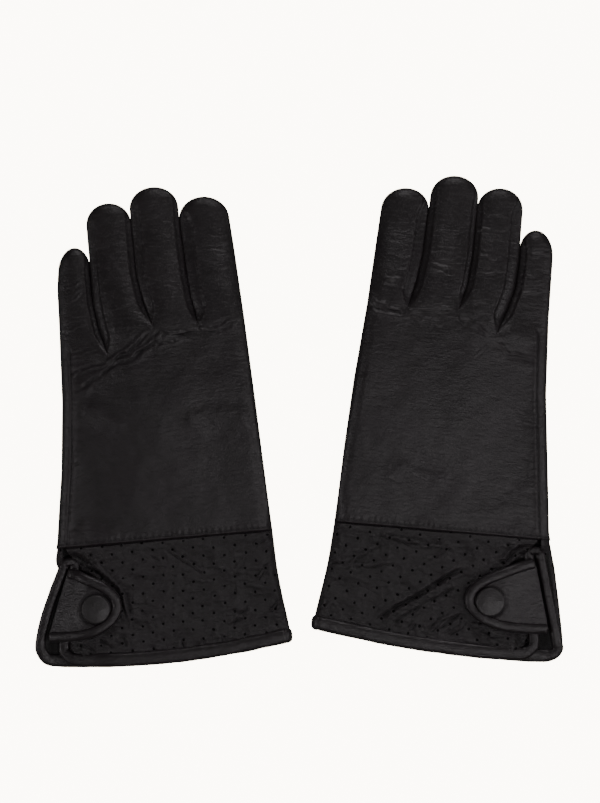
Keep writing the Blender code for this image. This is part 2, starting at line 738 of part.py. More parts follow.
def make_glove(name, collection):
    glove = Glove(name, collection)
    make_trank(glove)
    make_cuff(glove)
    make_hand_lining(glove)
    make_cuff_binding(glove)
    for finger in FINGERS:
        knuckle = glove.empty(f"{finger}_knuckle", glove.knuckle(finger))
        make_finger(glove, finger, knuckle)
        make_finger_lining(glove, finger, knuckle)
    thumb_root = glove.empty("thumb_root", (*THUMB_PIVOT, THUMB_HEIGHT))
    make_thumb(glove, thumb_root)
    tab = Tab(glove)
    hinge = glove.empty("tab_hinge", (tab.base[0], tab.base[1], tab.height(0)))
    make_tab(glove, hinge)
    make_snap(glove, hinge)


def main():
    for made in list(bpy.data.objects):
        bpy.data.objects.remove(made)
    collection = bpy.data.collections.new("leather_gloves")
    bpy.context.scene.collection.children.link(collection)
    for name in GLOVES:
        make_glove(name, collection)
    bpy.context.view_layer.update()


main()
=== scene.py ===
"""Look of the pair of leather gloves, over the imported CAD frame.

Each glove is drawn in its own millimetre frame: u across towards the little finger, v towards the
fingertips from the wrist seam, z up. Every surface keeps its u, v, z in a vertex attribute called rest,
so the leather's grain and the cuff's holes stay on the leather when it bends.
"""

import math

import bpy
import numpy as np
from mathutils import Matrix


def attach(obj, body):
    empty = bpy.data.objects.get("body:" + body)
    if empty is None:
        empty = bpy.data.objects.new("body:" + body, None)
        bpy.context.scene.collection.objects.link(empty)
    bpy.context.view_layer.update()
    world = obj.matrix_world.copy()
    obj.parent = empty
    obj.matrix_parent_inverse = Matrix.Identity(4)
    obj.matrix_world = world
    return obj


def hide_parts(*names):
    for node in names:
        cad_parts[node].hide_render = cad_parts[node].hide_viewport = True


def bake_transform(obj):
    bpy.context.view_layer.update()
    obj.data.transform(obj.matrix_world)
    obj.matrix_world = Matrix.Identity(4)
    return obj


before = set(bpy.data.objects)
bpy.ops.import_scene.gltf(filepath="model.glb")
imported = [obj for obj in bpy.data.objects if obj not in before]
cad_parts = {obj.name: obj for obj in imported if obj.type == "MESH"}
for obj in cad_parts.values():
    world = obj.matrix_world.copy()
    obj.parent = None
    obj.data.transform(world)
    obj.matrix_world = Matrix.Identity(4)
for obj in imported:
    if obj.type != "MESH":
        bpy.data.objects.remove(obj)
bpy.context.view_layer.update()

MM = 0.001
STEP = 0.55

# Heights of the lying glove
HAND_THICK = 9.4
CUFF_THICK = 9.2
PALM_OVER_THUMB = 6.7
LITTLE_SIDE_BOTTOM = 1.6
PALM_RISE_END = 17.0
BACK_SLOPE_START = 38.0
BACK_SLOPE = 125.0
TIP_HALF_HEIGHT = 3.7

# Edges and bindings
EDGE_ROUND = 7.0
TIP_ROUND = 12.0
HEM_HALF = 3.7
SLIT_HALF = 2.7
TAB_HALF = 2.75
ROLL = 2.0
SLIT_LOOP = 2.9
BACK_LEG_HEIGHT = 3.6
PALM_LEG_HEIGHT = 4.4
SIDE_SEAM = 5.6
CORNER_ROUND = 9.0
STITCH_PITCH = 1.6

# Each finger is widened by TOUCH, so neighbours overlap by twice that. The cuff widens by HEM_FLARE
# to the hem. The lining lies LINING_DEPTH inside the leather.
TOUCH = 0.12
HEM_FLARE = 2.2
LINING_DEPTH = 2.4

# The palm's leather where it turns up round the outline: the height it starts at, its first v and its length
WRAP_START = 2.4
WRAP_TOP = 1.8
WRAP_LENGTH = 58

# Tab and snap
TAB_BASE_HALF = 17.5
TAB_HEIGHT = 13.05
TAB_REACH_UP = 5.5
CAP_RADIUS = 7.5

# Thumb
THUMB_PIVOT = (-32.0, 36.0)
THUMB_HEADING = math.radians(14.5)
THUMB_LENGTH = 63.0
THUMB_ROOT = 15.0
THUMB_WIDTH = 27.0
THUMB_HEIGHT = 6.2
THUMB_SEWN = 1.3

# Lines are (v, u) points from the hem to the fingertips. Creases are (kind, (u, v) points).
GLOVES = {
    "left": {
        "side": -1,
        "origin": (-67.9, -61.6),
        "turn": 5.0,
        "index_edge": ((-62, -57.3), (-38, -55.5), (0, -54.2), (40, -52.5), (76, -51.0), (115, -49.2),
                       (148, -47.2), (178, -45.0)),
        "index_middle": ((108, -25.5), (118, -23.6), (126, -22.0), (140, -20.6), (160, -19.6), (180, -19.4)),
        "middle_ring": ((108, -3.0), (118, 0.6), (125, 2.8), (140, 5.3), (185, 6.2)),
        "ring_little": ((96, 22.6), (105, 25.0), (112, 26.9), (126, 29.0), (160, 29.4)),
        "little_edge": ((-62, 75.5), (-47, 76.8), (-32, 71.0), (-14, 63.5), (4, 59.0), (40, 53.6),
                        (76, 50.0), (115, 48.2), (136, 47.6), (157, 44.8)),
        "crotches": {"index_middle": 108.7, "middle_ring": 111.7, "ring_little": 98.7},
        "knuckles": {"index": 112.5, "middle": 112.5, "ring": 112.5, "little": 100.0},
        "tips": {"index": 177.9, "middle": 185.2, "ring": 178.7, "little": 156.9},
        "hem": {"low": -60.9, "at": 12.0, "rise": 5.8, "span": 70.0},
        "apex": (54.0, -7.0),
        "back_leg_foot": (60.6, -51.0),
        "palm_leg": ((57.1, -11.0), (67.6, -33.0), (72.6, -49.0)),
        "outer_corner": (73.4, -57.0),
        "palm_strip": 1.4,
        "tab_base": ((55.7, -14.8), (69.0, -49.0)),
        "tab_tip": (27.4, -31.5),
        "snap": (41.0, -32.6),
        "seams": {"index": (None, 6.0), "middle": (2.2, 4.6), "ring": (2.4, 4.0), "little": (2.6, None)},
        "holes": {"at": (15.9, -18.1), "first": (-5.04, -4.36), "second": (5.79, -4.21)},
        "hand_creases": (
            ("valley", ((46, 81), (33, 85), (23, 91), (18, 96), (9, 103), (-1, 109))),
            ("ridge", ((45, 88), (37, 92), (25, 94), (18, 98), (10, 104), (2, 109))),
            ("ridge", ((15, 95), (2, 102), (-3, 106), (-7, 109))),
            ("valley", ((24, 91), (11, 96), (1, 101), (-5, 104), (-12, 105), (-25, 107))),
            ("ridge", ((-9, 107), (-25, 108), (-34, 107), (-46, 112))),
            ("valley", ((-29, 105), (-38, 108), (-47, 111))),
            ("fine", ((-38, 93), (-50, 91))),
            ("fine", ((-38, 85), (-49, 82))),
            ("fine", ((-13, 96), (-6, 96))),
            ("fine", ((42, 100), (34, 102), (25, 103))),
            ("soft", ((42, 82), (34, 88), (24, 92))),
            ("soft", ((40, 73), (29, 67), (18, 61))),
            ("soft", ((-12, 61), (-25, 62), (-49, 59))),
            ("soft", ((48, 12), (38, 6), (26, 4))),
            ("fine", ((50, 9), (40, 8), (33, 5))),
        ),
        "finger_creases": (
            ("fine", ((21, 145), (15, 146), (8, 145))),
            ("fine", ((43, 135), (37, 137), (32, 139))),
            ("fine", ((42, 128), (35, 133), (29, 136))),
            ("fine", ((45, 117), (37, 119), (30, 121))),
            ("fine", ((45, 112), (39, 115), (31, 116))),
            ("fine", ((25, 156), (16, 156))),
            ("fine", ((-2, 176), (-11, 176))),
            ("fine", ((0, 168), (-10, 170))),
            ("fine", ((-30, 158), (-37, 156), (-44, 153))),
            ("fine", ((-33, 149), (-44, 147))),
            ("fine", ((20, 122), (8, 124))),
            ("fine", ((-3, 133), (-16, 131))),
        ),
        "cuff_creases": (
            ("sharp", ((41, -5), (38, -11), (33, -17), (28, -23), (26, -30), (25, -36), (23, -40))),
            ("valley", ((46, -6), (41, -12), (36, -18), (31, -23), (28, -28), (27, -36))),
            ("fold", ((51, -3), (47, -7), (45, -11), (38, -15))),
            ("sharp", ((1, -5), (-5, -10), (-11, -14), (-15, -18))),
            ("ridge", ((11, -6), (5, -10))),
            ("ridge", ((-40, -11), (-35, -16), (-28, -22))),
            ("sharp", ((-52, -17), (-46, -22), (-43, -25))),
            ("sharp", ((-55, -36), (-51, -41), (-48, -41))),
            ("ridge", ((-50, -2), (-43, -7))),
            ("ridge", ((-53, -8), (-48, -10))),
            ("ridge", ((26, -35), (23, -42), (24, -46))),
            ("valley", ((29, -48), (28, -54))),
            ("valley", ((41, -49), (34, -55))),
            ("valley", ((49, -50), (44, -55))),
            ("valley", ((-23, -52), (-23, -56))),
            ("valley", ((-13, -53), (-14, -57))),
            ("valley", ((-2, -54), (-3, -57))),
            ("valley", ((-39, -38), (-33, -44), (-28, -48))),
            ("fine", ((0, -23), (-11, -23), (-20, -23))),
            ("fine", ((-2, -28), (-15, -28), (-27, -30))),
            ("fine", ((32, -32), (22, -31), (13, -31))),
        ),
    },
    "right": {
        "side": 1,
        "origin": (70.8, -57.1),
        "turn": -5.0,
        "index_edge": ((-60, -57.3), (-38, -55.2), (0, -52.5), (40, -51.0), (76, -49.0), (115, -45.6),
                       (148, -43.6), (180, -41.5)),
        "index_middle": ((112, -25.0), (120, -22.8), (130, -20.4), (145, -18.2), (180, -16.8)),
        "middle_ring": ((112, 0.6), (120, 3.4), (130, 6.0), (145, 7.4), (185, 8.3)),
        "ring_little": ((102, 22.4), (110, 24.8), (118, 27.6), (130, 31.0), (145, 32.0), (165, 32.0)),
        "little_edge": ((-62, 74.5), (-50, 73.0), (-32, 69.5), (-14, 65.6), (4, 60.5), (40, 56.5),
                        (76, 52.5), (115, 50.4), (148, 50.0), (162, 48.5)),
        "crotches": {"index_middle": 113.0, "middle_ring": 116.0, "ring_little": 105.1},
        "knuckles": {"index": 116.5, "middle": 116.5, "ring": 116.5, "little": 106.0},
        "tips": {"index": 178.2, "middle": 186.8, "ring": 182.3, "little": 161.9},
        "hem": {"low": -60.6, "at": 35.0, "rise": 7.6, "span": 92.0},
        "apex": (54.0, -5.5),
        "back_leg_foot": (57.4, -50.5),
        "palm_leg": ((57.2, -10.0), (64.0, -33.0), (69.2, -51.0)),
        "outer_corner": (72.0, -59.0),
        "palm_strip": 9.0,
        "tab_base": ((55.0, -14.2), (65.2, -49.5)),
        "tab_tip": (18.5, -33.6),
        "snap": (32.0, -34.0),
        "seams": {"index": (None, 5.4), "middle": (2.6, 2.4), "ring": (2.4, 5.6), "little": (3.4, None)},
        "holes": {"at": (-14.4, -15.8), "first": (-5.74, -3.92), "second": (10.27, -1.46)},
        "hand_creases": (
            ("ridge", ((-46, 119), (-40, 117), (-34, 114), (-27, 113))),
            ("valley", ((-46, 116), (-36, 112), (-27, 111))),
            ("ridge", ((-24, 113), (-13, 115), (0, 117))),
            ("fine", ((-22, 115), (-12, 114), (-1, 115))),
            ("ridge", ((-23, 110), (-12, 108), (-5, 107))),
            ("ridge", ((2, 113), (11, 109), (19, 104))),
            ("fine", ((20, 101), (15, 95), (12, 92))),
            ("ridge", ((23, 102), (30, 96), (46, 94))),
            ("soft", ((25, 104), (33, 106), (46, 105))),
            ("fine", ((-30, 106), (-24, 108), (-18, 104))),
            ("fine", ((49, 40), (42, 42))),
            ("fine", ((50, 60), (41, 61))),
            ("soft", ((-40, 24), (-20, 30), (6, 24))),
            ("soft", ((44, 20), (30, 12), (12, 10))),
        ),
        "finger_creases": (
            ("fine", ((11, 166), (16, 167), (23, 167))),
            ("ridge", ((9, 160), (16, 160))),
            ("ridge", ((9, 145), (14, 145), (19, 143))),
            ("fine", ((9, 137), (15, 136), (24, 138))),
            ("fine", ((36, 137), (43, 138))),
            ("ridge", ((38, 149), (48, 150))),
            ("fine", ((32, 122), (46, 122))),
            ("fine", ((8, 121), (18, 121))),
            ("ridge", ((-15, 139), (-9, 138), (-3, 136))),
            ("fine", ((-15, 148), (-2, 147))),
            ("fine", ((-42, 155), (-32, 157))),
            ("ridge", ((-38, 129), (-29, 129))),
            ("ridge", ((32, 127), (45, 130))),
            ("fine", ((30, 132), (46, 134))),
            ("fine", ((10, 152), (24, 150))),
        ),
        "cuff_creases": (
            ("fold", ((-28, -50), (-22, -46), (-16, -41), (-6, -35), (0, -30), (9, -23), (20, -17))),
            ("valley", ((-19, -52), (-12, -46), (-1, -38), (6, -34), (16, -27))),
            ("ridge", ((-46, -25), (-40, -18), (-32, -12), (-25, -8))),
            ("sharp", ((-30, -4), (-18, -6), (-4, -8), (8, -8))),
            ("fold", ((49, -3), (44, -7), (40, -12), (35, -14))),
            ("sharp", ((47, -1), (41, -6), (37, -11))),
            ("sharp", ((-9, -53), (-6, -48))),
            ("sharp", ((2, -53), (7, -46), (13, -43))),
            ("sharp", ((12, -53), (18, -49), (20, -45))),
            ("ridge", ((28, -50), (33, -54))),
            ("ridge", ((-49, -19), (-45, -16))),
            ("valley", ((-53, -22), (-45, -21))),
            ("ridge", ((-5, -16), (3, -12), (10, -6))),
            ("fine", ((-53, -32), (-38, -31), (-25, -34))),
            ("ridge", ((-44, -22), (-31, -21), (-19, -17))),
            ("ridge", ((-54, -40), (-55, -44))),
            ("valley", ((8, -51), (13, -46), (18, -42))),
        ),
    },
}

FINGERS = ("index", "middle", "ring", "little")
FINGER_EDGES = {
    "index": ("index_edge", "index_middle"),
    "middle": ("index_middle", "middle_ring"),
    "ring": ("middle_ring", "ring_little"),
    "little": ("ring_little", "little_edge"),
}
GAPS = ("index_middle", "middle_ring", "ring_little")

# A crease's kind: half width and height of its middle, then half width, distance and height of its shoulders
CREASES = {
    "valley": (0.8, -0.75, 1.1, 1.7, 0.3),
    "ridge": (0.8, 0.5, 0.9, 1.5, -0.3),
    "sharp": (0.6, 0.7, 0.7, 1.2, -0.45),
    "fold": (1.0, -1.3, 1.2, 2.2, 0.55),
    "fine": (0.5, 0.22, 0.5, 0.9, -0.16),
    "soft": (5.0, 0.55, 4.0, 8.0, -0.2),
}


# Small maths

def smooth(x):
    x = np.clip(x, 0.0, 1.0)
    return x * x * (3 - 2 * x)


def bell(x):
    return np.exp(-x * x)


def noise(x, y, seed):
    """Smooth random values from -1 to 1, one unit between independent values."""
    grid = np.random.default_rng(seed).random((97, 89)) * 2 - 1
    xi, yi = np.floor(x).astype(int), np.floor(y).astype(int)
    fx, fy = smooth(x - xi), smooth(y - yi)
    a, b = grid[xi % 97, yi % 89], grid[(xi + 1) % 97, yi % 89]
    c, d = grid[xi % 97, (yi + 1) % 89], grid[(xi + 1) % 97, (yi + 1) % 89]
    return (a * (1 - fx) + b * fx) * (1 - fy) + (c * (1 - fx) + d * fx) * fy


def rough(x, y, seed, octaves=3):
    total = sum(noise(x * 2 ** k, y * 2 ** k, seed + k) / 2 ** k for k in range(octaves))
    return total / (2 - 2 ** (1 - octaves))


def ridged(x, y, seed, octaves=3):
    """Creased noise: sharp lines at the top, from 0 to 1."""
    total = sum((1 - np.abs(noise(x * 2 ** k, y * 2 ** k, seed + k))) ** 3 / 2 ** k for k in range(octaves))
    return total / (2 - 2 ** (1 - octaves))


def to_line(u, v, points):
    """Distance from each (u, v) to a line of points, and how far along it that is, from 0 to 1."""
    points = np.array(points, float)
    lengths = np.linalg.norm(np.diff(points, axis=0), axis=1)
    ends = np.concatenate([[0], np.cumsum(lengths)]) / lengths.sum()
    best = np.full(u.shape, 1e9)
    share = np.zeros(u.shape)
    for number, (a, b) in enumerate(zip(points[:-1], points[1:])):
        d = b - a
        t = np.clip(((u - a[0]) * d[0] + (v - a[1]) * d[1]) / (d @ d), 0, 1)
        away = np.hypot(u - a[0] - t * d[0], v - a[1] - t * d[1])
        nearer = away < best
        best = np.where(nearer, away, best)
        share = np.where(nearer, ends[number] + t * (ends[number + 1] - ends[number]), share)
    return best, share


def creases(u, v, lines, seed):
    """Height added by the named creases: each one wanders a little and fades at both ends."""
    wander = 0.9 * noise(u / 4.5, v / 4.5, seed) + 0.4 * noise(u / 1.9, v / 1.9, seed + 5)
    height = np.zeros(u.shape)
    for number, (kind, points) in enumerate(lines):
        width, peak, shoulder, apart, side = CREASES[kind]
        away, share = to_line(u + wander, v + 0.8 * wander, points)
        fade = smooth(share * 5 + 0.15) * smooth((1 - share) * 5 + 0.15)
        vary = 0.75 + 0.35 * noise(u / 5 + number * 7, v / 5, seed + 9)
        height += fade * vary * (peak * bell(away / width) + side * bell((away - apart) / shoulder))
    return height


def spline(points, spacing):
    """A smooth line through points, with a point about every spacing."""
    p = np.array(points, float)
    p = np.vstack([2 * p[0] - p[1], p, 2 * p[-1] - p[-2]])
    made = []
    for a, b, c, d in zip(p[:-3], p[1:-2], p[2:-1], p[3:]):
        count = max(2, int(np.linalg.norm((c - b)[:3]) / spacing))
        t = (np.arange(count) / count)[:, None]
        made.append(0.5 * (2 * b + (c - a) * t + (2 * a - 5 * b + 4 * c - d) * t ** 2
                           + (3 * b - a - 3 * c + d) * t ** 3))
    made.append(p[-2][None])
    return np.vstack(made)


def through(points, t):
    a, b, c = (np.array(p, float) for p in points)
    return a * (1 - t) * (1 - 2 * t) + b * 4 * t * (1 - t) + c * t * (2 * t - 1)


def sheet_faces(rows, cols, wrap=False):
    index = np.arange(rows * cols).reshape(rows, cols)
    if wrap:
        index = np.hstack([index, index[:, :1]])
    return np.stack([index[:-1, :-1], index[:-1, 1:], index[1:, 1:], index[1:, :-1]], -1).reshape(-1, 4)


# The glove's shape

class Glove:
    def __init__(self, name):
        self.name = name
        self.data = GLOVES[name]
        self.side = self.data["side"]
        self.seed = 100 if name == "left" else 200
        self.turn = math.radians(self.data["turn"])
        self.lines = {}
        stations = np.arange(-70.0, 195.0, 0.5)
        window = np.hanning(17)
        window /= window.sum()
        for line in ("index_edge", "little_edge", *GAPS):
            knots = self.data[line]
            us = np.interp(stations, [k[0] for k in knots], [k[1] for k in knots])
            padded = np.pad(us, 8, mode="edge")
            us = np.convolve(padded, window, mode="valid")
            if line == "index_edge":
                us = us - HEM_FLARE * smooth((-15 - stations) / 40)
            self.lines[line] = (stations, us)
        for line in GAPS:
            self.lines[line] = (stations, self.into_hand(line))

    def line(self, name, v):
        stations, us = self.lines[name]
        return np.interp(v, stations, us)

    def into_hand(self, name):
        """A finger gap's line, carried on through the hand at the same share of its width."""
        stations, us = self.lines[name]
        start = self.data["crotches"][name]
        low, high = self.line("index_edge", start), self.line("little_edge", start)
        share = (self.line(name, start) - low) / (high - low)
        lows, highs = self.line("index_edge", stations), self.line("little_edge", stations)
        return np.where(stations < start, lows + share * (highs - lows), us)

    def world(self, u, v, z):
        x = self.side * np.asarray(u, float)
        ox, oy = self.data["origin"]
        c, s = math.cos(self.turn), math.sin(self.turn)
        return np.stack([(ox + c * x - s * v) * MM, (oy + s * x + c * v) * MM, z * MM + 0 * x], -1)

    def bottom(self, u, v):
        across = smooth((u - 8) / 36)
        high = PALM_OVER_THUMB * (1 - across) + LITTLE_SIDE_BOTTOM * across
        return smooth(v / PALM_RISE_END) * high

    def back(self, u, v):
        """Height of the back of the glove: one long slope from the cuff to the middle of the hand."""
        across = smooth((u - 8) / 36)
        high = PALM_OVER_THUMB * (1 - across) + LITTLE_SIDE_BOTTOM * across
        return CUFF_THICK + 0.2 * smooth(v / 30) + smooth((v + BACK_SLOPE_START) / BACK_SLOPE) * high

    def hem(self, u):
        h = self.data["hem"]
        return h["low"] + h["rise"] * ((u - h["at"]) / h["span"]) ** 2

    def slit_opening(self, v):
        apex_v = self.data["apex"][1]
        return np.interp(v, (apex_v - 3, apex_v + 3.1, -0.4), (SLIT_HALF + SLIT_LOOP - 1.2, 1.2, -0.3))

    def back_edge(self, v):
        u, apex_v = self.data["apex"]
        foot_u, foot_v = self.data["back_leg_foot"]
        shift = (foot_u - (u - SLIT_LOOP)) * np.maximum(0.0, (apex_v - 3 - v) / (apex_v - 3 - foot_v))
        return u - self.slit_opening(v) + shift

    def roll_line(self, v):
        """The middle of the palm side's roll."""
        leg = self.data["palm_leg"]
        t = (leg[0][1] - v) / (leg[0][1] - leg[2][1])
        return np.interp(t, (0, 0.5, 1), (leg[0][0], leg[1][0], leg[2][0]))

    def palm_edge(self, v):
        """The outer edge of the cuff's palm side: the outline, or beside the roll if that is nearer."""
        outline = self.line("little_edge", v) - 0.4
        beside = np.minimum(outline, self.roll_line(v) + self.data["palm_strip"])
        return outline + (beside - outline) * smooth((-4 - v) / 12)

    def knuckle(self, finger):
        v = self.data["knuckles"][finger]
        low, high = (self.line(edge, v) for edge in FINGER_EDGES[finger])
        u = (low + high) / 2
        return u, v, self.bottom(u, v) + HAND_THICK / 2

    # Leather of the hand and fingers

    def strip(self, finger, x, v, top):
        """Points of one finger's strip of leather, from the wrist to the tip. x is -1 to 1 across."""
        low_name, high_name = FINGER_EDGES[finger]
        low, high = self.line(low_name, v), self.line(high_name, v)
        hinge, tip = self.data["knuckles"][finger], self.data["tips"][finger]
        share = np.clip((v - hinge) / (tip - hinge), 0, 1)
        from_tip = np.clip(tip - v, 0, None)
        past = smooth((v - hinge) / 6)
        low = low - TOUCH * past * (low_name in GAPS)
        high = high + TOUCH * past * (high_name in GAPS)
        half = (high - low) / 2
        round_tip = np.sqrt(np.clip(1 - (1 - np.minimum(from_tip / TIP_ROUND, 1)) ** 2.2, 0, 1))
        u = (low + high) / 2 + x * half * round_tip
        palm = self.bottom(u, v)
        sink = 1 - smooth(share * 1.15)
        full = (self.back(u, v) - palm) / 2
        full = full + (TIP_HALF_HEIGHT - full) * share
        thick = full * np.sqrt(np.clip(1 - (1 - np.minimum(from_tip / 7.0, 1)) ** 2, 0, 1))
        middle = palm * sink + full
        finger_share = smooth((v - hinge + 8) / 20)
        radius = EDGE_ROUND + (half * 0.92 - EDGE_ROUND) * finger_share
        away = half * (1 - np.abs(x))
        curve = np.sqrt(np.clip(1 - (1 - np.minimum(away / radius, 1)) ** 2, 0, 1))
        opened = self.opened(low_name, v) * (x < 0) + self.opened(high_name, v) * (x >= 0)
        level = 1 - opened * (1 - curve)
        if top:
            shared, own = self.hand_relief(finger, u, v, x, away, finger_share)
            lift = shared * (0.15 + 0.85 * level * round_tip) + own * curve * round_tip
            z = middle + thick * level + lift
        else:
            lift = self.palm_relief(u, v, away, finger_share, finger) * level * curve * round_tip
            z = np.maximum(middle - thick * level - lift, 0.05)
        return u, v + 0 * u, z

    def opened(self, line, v):
        """How far the edge at a line is rounded off: fully at the sides, past the crotch between fingers."""
        if line in GAPS:
            return smooth((v - self.data["crotches"][line] + 3.0) / 13)
        return np.ones_like(v)

    def seam_groove(self, away, inset, v, depth=0.85):
        """A seam pulled into the leather: a narrow groove with puckers beside it."""
        groove = -depth * bell((away - inset) / 0.5)
        lip = 0.22 * bell((away - inset - 1.1) / 0.7)
        pucker = 0.10 * np.sin(2 * math.pi * v / (2 * STITCH_PITCH) + 2 * noise(v / 6, v * 0, 3))
        return groove + lip + pucker * bell((away - inset - 0.9) / 1.1)

    def hand_relief(self, finger, u, v, x, away, finger_share):
        """Relief of the back in two parts: what runs across all the strips, and what is this finger's own."""
        seed = self.seed
        data = self.data
        broad = rough(u / 30 + 3, v / 36 + 5, seed)
        shared = broad + 0.22 * rough(u / 9, v / 8, seed + 11)
        shared += 0.07 * (ridged(u / 9, v / 2.6, seed + 21) - 0.4)
        shared += 0.05 * (ridged(u / 3.2, v / 2.4, seed + 31) - 0.4)
        own = -0.6 * finger_share * broad
        joint = 0
        hinge, tip = data["knuckles"][finger], data["tips"][finger]
        for place in (0.32, 0.62):
            joint = joint + bell((v - hinge - place * (tip - hinge)) / 7)
        wave = ridged(u / 11 + 0.5 * noise(u / 4, v / 4, seed + 41), v / 3.4, seed + 43, 2)
        own += 0.28 * joint * (wave - 0.45) * finger_share
        root = bell((v - hinge + 2) / 6)
        own += 0.22 * root * (ridged(u / 8, v / 3.0, seed + 47, 2) - 0.45)
        shared += 1.05 * creases(u, v, data["hand_creases"], seed + 51)
        shared += 1.05 * creases(u, v, data["finger_creases"], seed + 61)
        low_seam, high_seam = data["seams"][finger]
        for inset, here, line in ((low_seam, x < 0, FINGER_EDGES[finger][0]),
                                  (high_seam, x >= 0, FINGER_EDGES[finger][1])):
            if inset is None:
                continue
            grown = smooth((v - data["crotches"][line] - 1) / 9) * smooth((tip - v) / 4)
            place = inset * smooth((v - data["crotches"][line]) / 12) * smooth((tip - v) / 14)
            fourchette = -0.9 * smooth((place - away) / 0.8)
            own += here * grown * (self.seam_groove(away, place, v, 0.75) + fourchette)
        if finger == "little":
            start = hinge + 5
            on = smooth((start - v) / 4) * (x > 0)
            own += on * (self.seam_groove(away, SIDE_SEAM, v, 1.1) - 0.25 * smooth((SIDE_SEAM - away) / 1.0))
            side = 0.22 * bell((away - SIDE_SEAM - 3) / 3) * (ridged(u / 7, v / 2.2, seed + 71, 2) - 0.4)
            own += on * side
        # The wrist: leather rolled under at the seam, with a stitched fold above it
        shared += -1.5 * bell((v + 0.2) / 0.7) - 0.35 * bell((v - 2.1) / 0.35) + 0.2 * bell((v - 1.1) / 0.6)
        gathers = np.sin(2 * math.pi * u / (2 * STITCH_PITCH) + 2 * noise(u / 7, u * 0, 5))
        shared += 0.12 * gathers * bell((v - 3) / 1.4)
        return shared, own

    def palm_relief(self, u, v, away, finger_share, finger):
        seed = self.seed + 500
        height = 0.4 * rough(u / 26, v / 30, seed) + 0.25 * (ridged(u / 14, v / 12, seed + 7) - 0.5)
        height += (0.10 + 0.14 * finger_share) * (ridged(u / 9, v / 3.0, seed + 17) - 0.4)
        hinge, tip = self.data["knuckles"][finger], self.data["tips"][finger]
        on = smooth((v - hinge - 2) / 8) * smooth((tip - v) / 8)
        return height + on * self.seam_groove(away, 3.2, v, 0.6)


def columns(half_width):
    """Positions across a strip, closer together at its edges."""
    count = int(half_width * 2 / STEP) + 6
    t = np.linspace(-1, 1, count)
    return 0.62 * t + 0.38 * np.sin(t * math.pi / 2)


# Meshes and objects

def build(glove, name, pieces, material, smooth_shade=True):
    """A mesh object from (u, v, z, faces) pieces in glove millimetres, welded where they meet."""
    points, faces, count = [], [], 0
    for u, v, z, own in pieces:
        local = np.stack([u.ravel(), v.ravel(), z.ravel()], -1)
        points.append(local)
        faces.append(own + count)
        count += len(local)
    local = np.vstack(points)
    faces = np.vstack(faces)
    keys = np.round(local / 0.004).astype(np.int64)
    _, first, which = np.unique(keys, axis=0, return_index=True, return_inverse=True)
    local = local[first]
    faces = which.reshape(-1)[faces]
    if glove.side < 0:
        faces = faces[:, ::-1]
    polygons = []
    for face in faces.tolist():
        corners = [a for a, b in zip(face, face[1:] + face[:1]) if a != b]
        if len(set(corners)) == len(corners) and len(corners) > 2:
            polygons.append(corners)
    world = glove.world(local[:, 0], local[:, 1], local[:, 2])
    mesh = bpy.data.meshes.new(name)
    mesh.from_pydata(world.tolist(), [], polygons)
    rest = mesh.attributes.new("rest", "FLOAT_VECTOR", "POINT")
    rest.data.foreach_set("vector", local.astype(np.float32).ravel())
    mesh.materials.append(material)
    if smooth_shade:
        mesh.shade_smooth()
    mesh.validate()
    made = bpy.data.objects.new(f"{glove.name}_{name}", mesh)
    bpy.context.scene.collection.objects.link(made)
    return made


def tube(centres, acrosses, halves, thicks, around, pucker=0.0, seed=0, ends=True):
    """A rolled strip carried along centres: an oval whose wide axis is across."""
    c = np.array(centres, float)
    tangents = np.gradient(c, axis=0)
    tangents /= np.linalg.norm(tangents, axis=1)[:, None]
    a = np.array(acrosses, float)
    a -= tangents * (a * tangents).sum(1)[:, None]
    a /= np.linalg.norm(a, axis=1)[:, None]
    up = np.cross(tangents, a)
    run = np.concatenate([[0], np.cumsum(np.linalg.norm(np.diff(c, axis=0), axis=1))])
    angles = np.arange(around) * 2 * math.pi / around
    power = 0.8
    x = np.sign(np.cos(angles)) * np.abs(np.cos(angles)) ** power
    z = np.sign(np.sin(angles)) * np.abs(np.sin(angles)) ** power
    s, k = np.meshgrid(run, angles, indexing="ij")
    swell = 1 + 0.05 * noise(s / 11, k / 2, seed) + 0.02 * noise(s / 3.5, k * 1.5, seed + 1)
    swell += pucker * (ridged(s / 2.2, k * 0.7, seed + 2, 2) - 0.5)
    if ends:
        d = np.minimum(run, run[-1] - run)
        swell *= np.sqrt(np.clip(1 - (1 - np.minimum(d / 1.6, 1)) ** 2, 0.0, 1))[:, None]
    halves = np.broadcast_to(halves, run.shape)
    thicks = np.broadcast_to(thicks, run.shape)
    points = (c[:, None] + (x * swell * halves[:, None])[..., None] * a[:, None]
              + (z * swell * thicks[:, None])[..., None] * up[:, None])
    return points[..., 0], points[..., 1], points[..., 2], sheet_faces(len(c), around, wrap=True)


def thread(glove, name, places, material):
    """Stitches as one mesh: (middle, direction, length) each, a little bead of thread."""
    pieces = []
    for middle, along, length in places:
        along = np.array(along, float) / np.linalg.norm(along)
        ts = np.array([-0.5, -0.36, 0.0, 0.36, 0.5])
        radii = np.array([0.05, 0.2, 0.26, 0.2, 0.05])
        centres = np.array(middle) + ts[:, None] * length * along
        side = np.cross((0, 0, 1), along)
        angles = np.arange(6) * math.pi / 3
        ring = np.cos(angles)[:, None] * side + np.sin(angles)[:, None] * np.array((0, 0, 1.0))
        p = centres[:, None] + radii[:, None, None] * ring[None]
        p[..., 2] -= 0.12 * (ts ** 2 * 4)[:, None]
        pieces.append((p[..., 0], p[..., 1], p[..., 2], sheet_faces(5, 6, wrap=True)))
    return build(glove, name, pieces, material)


# Materials

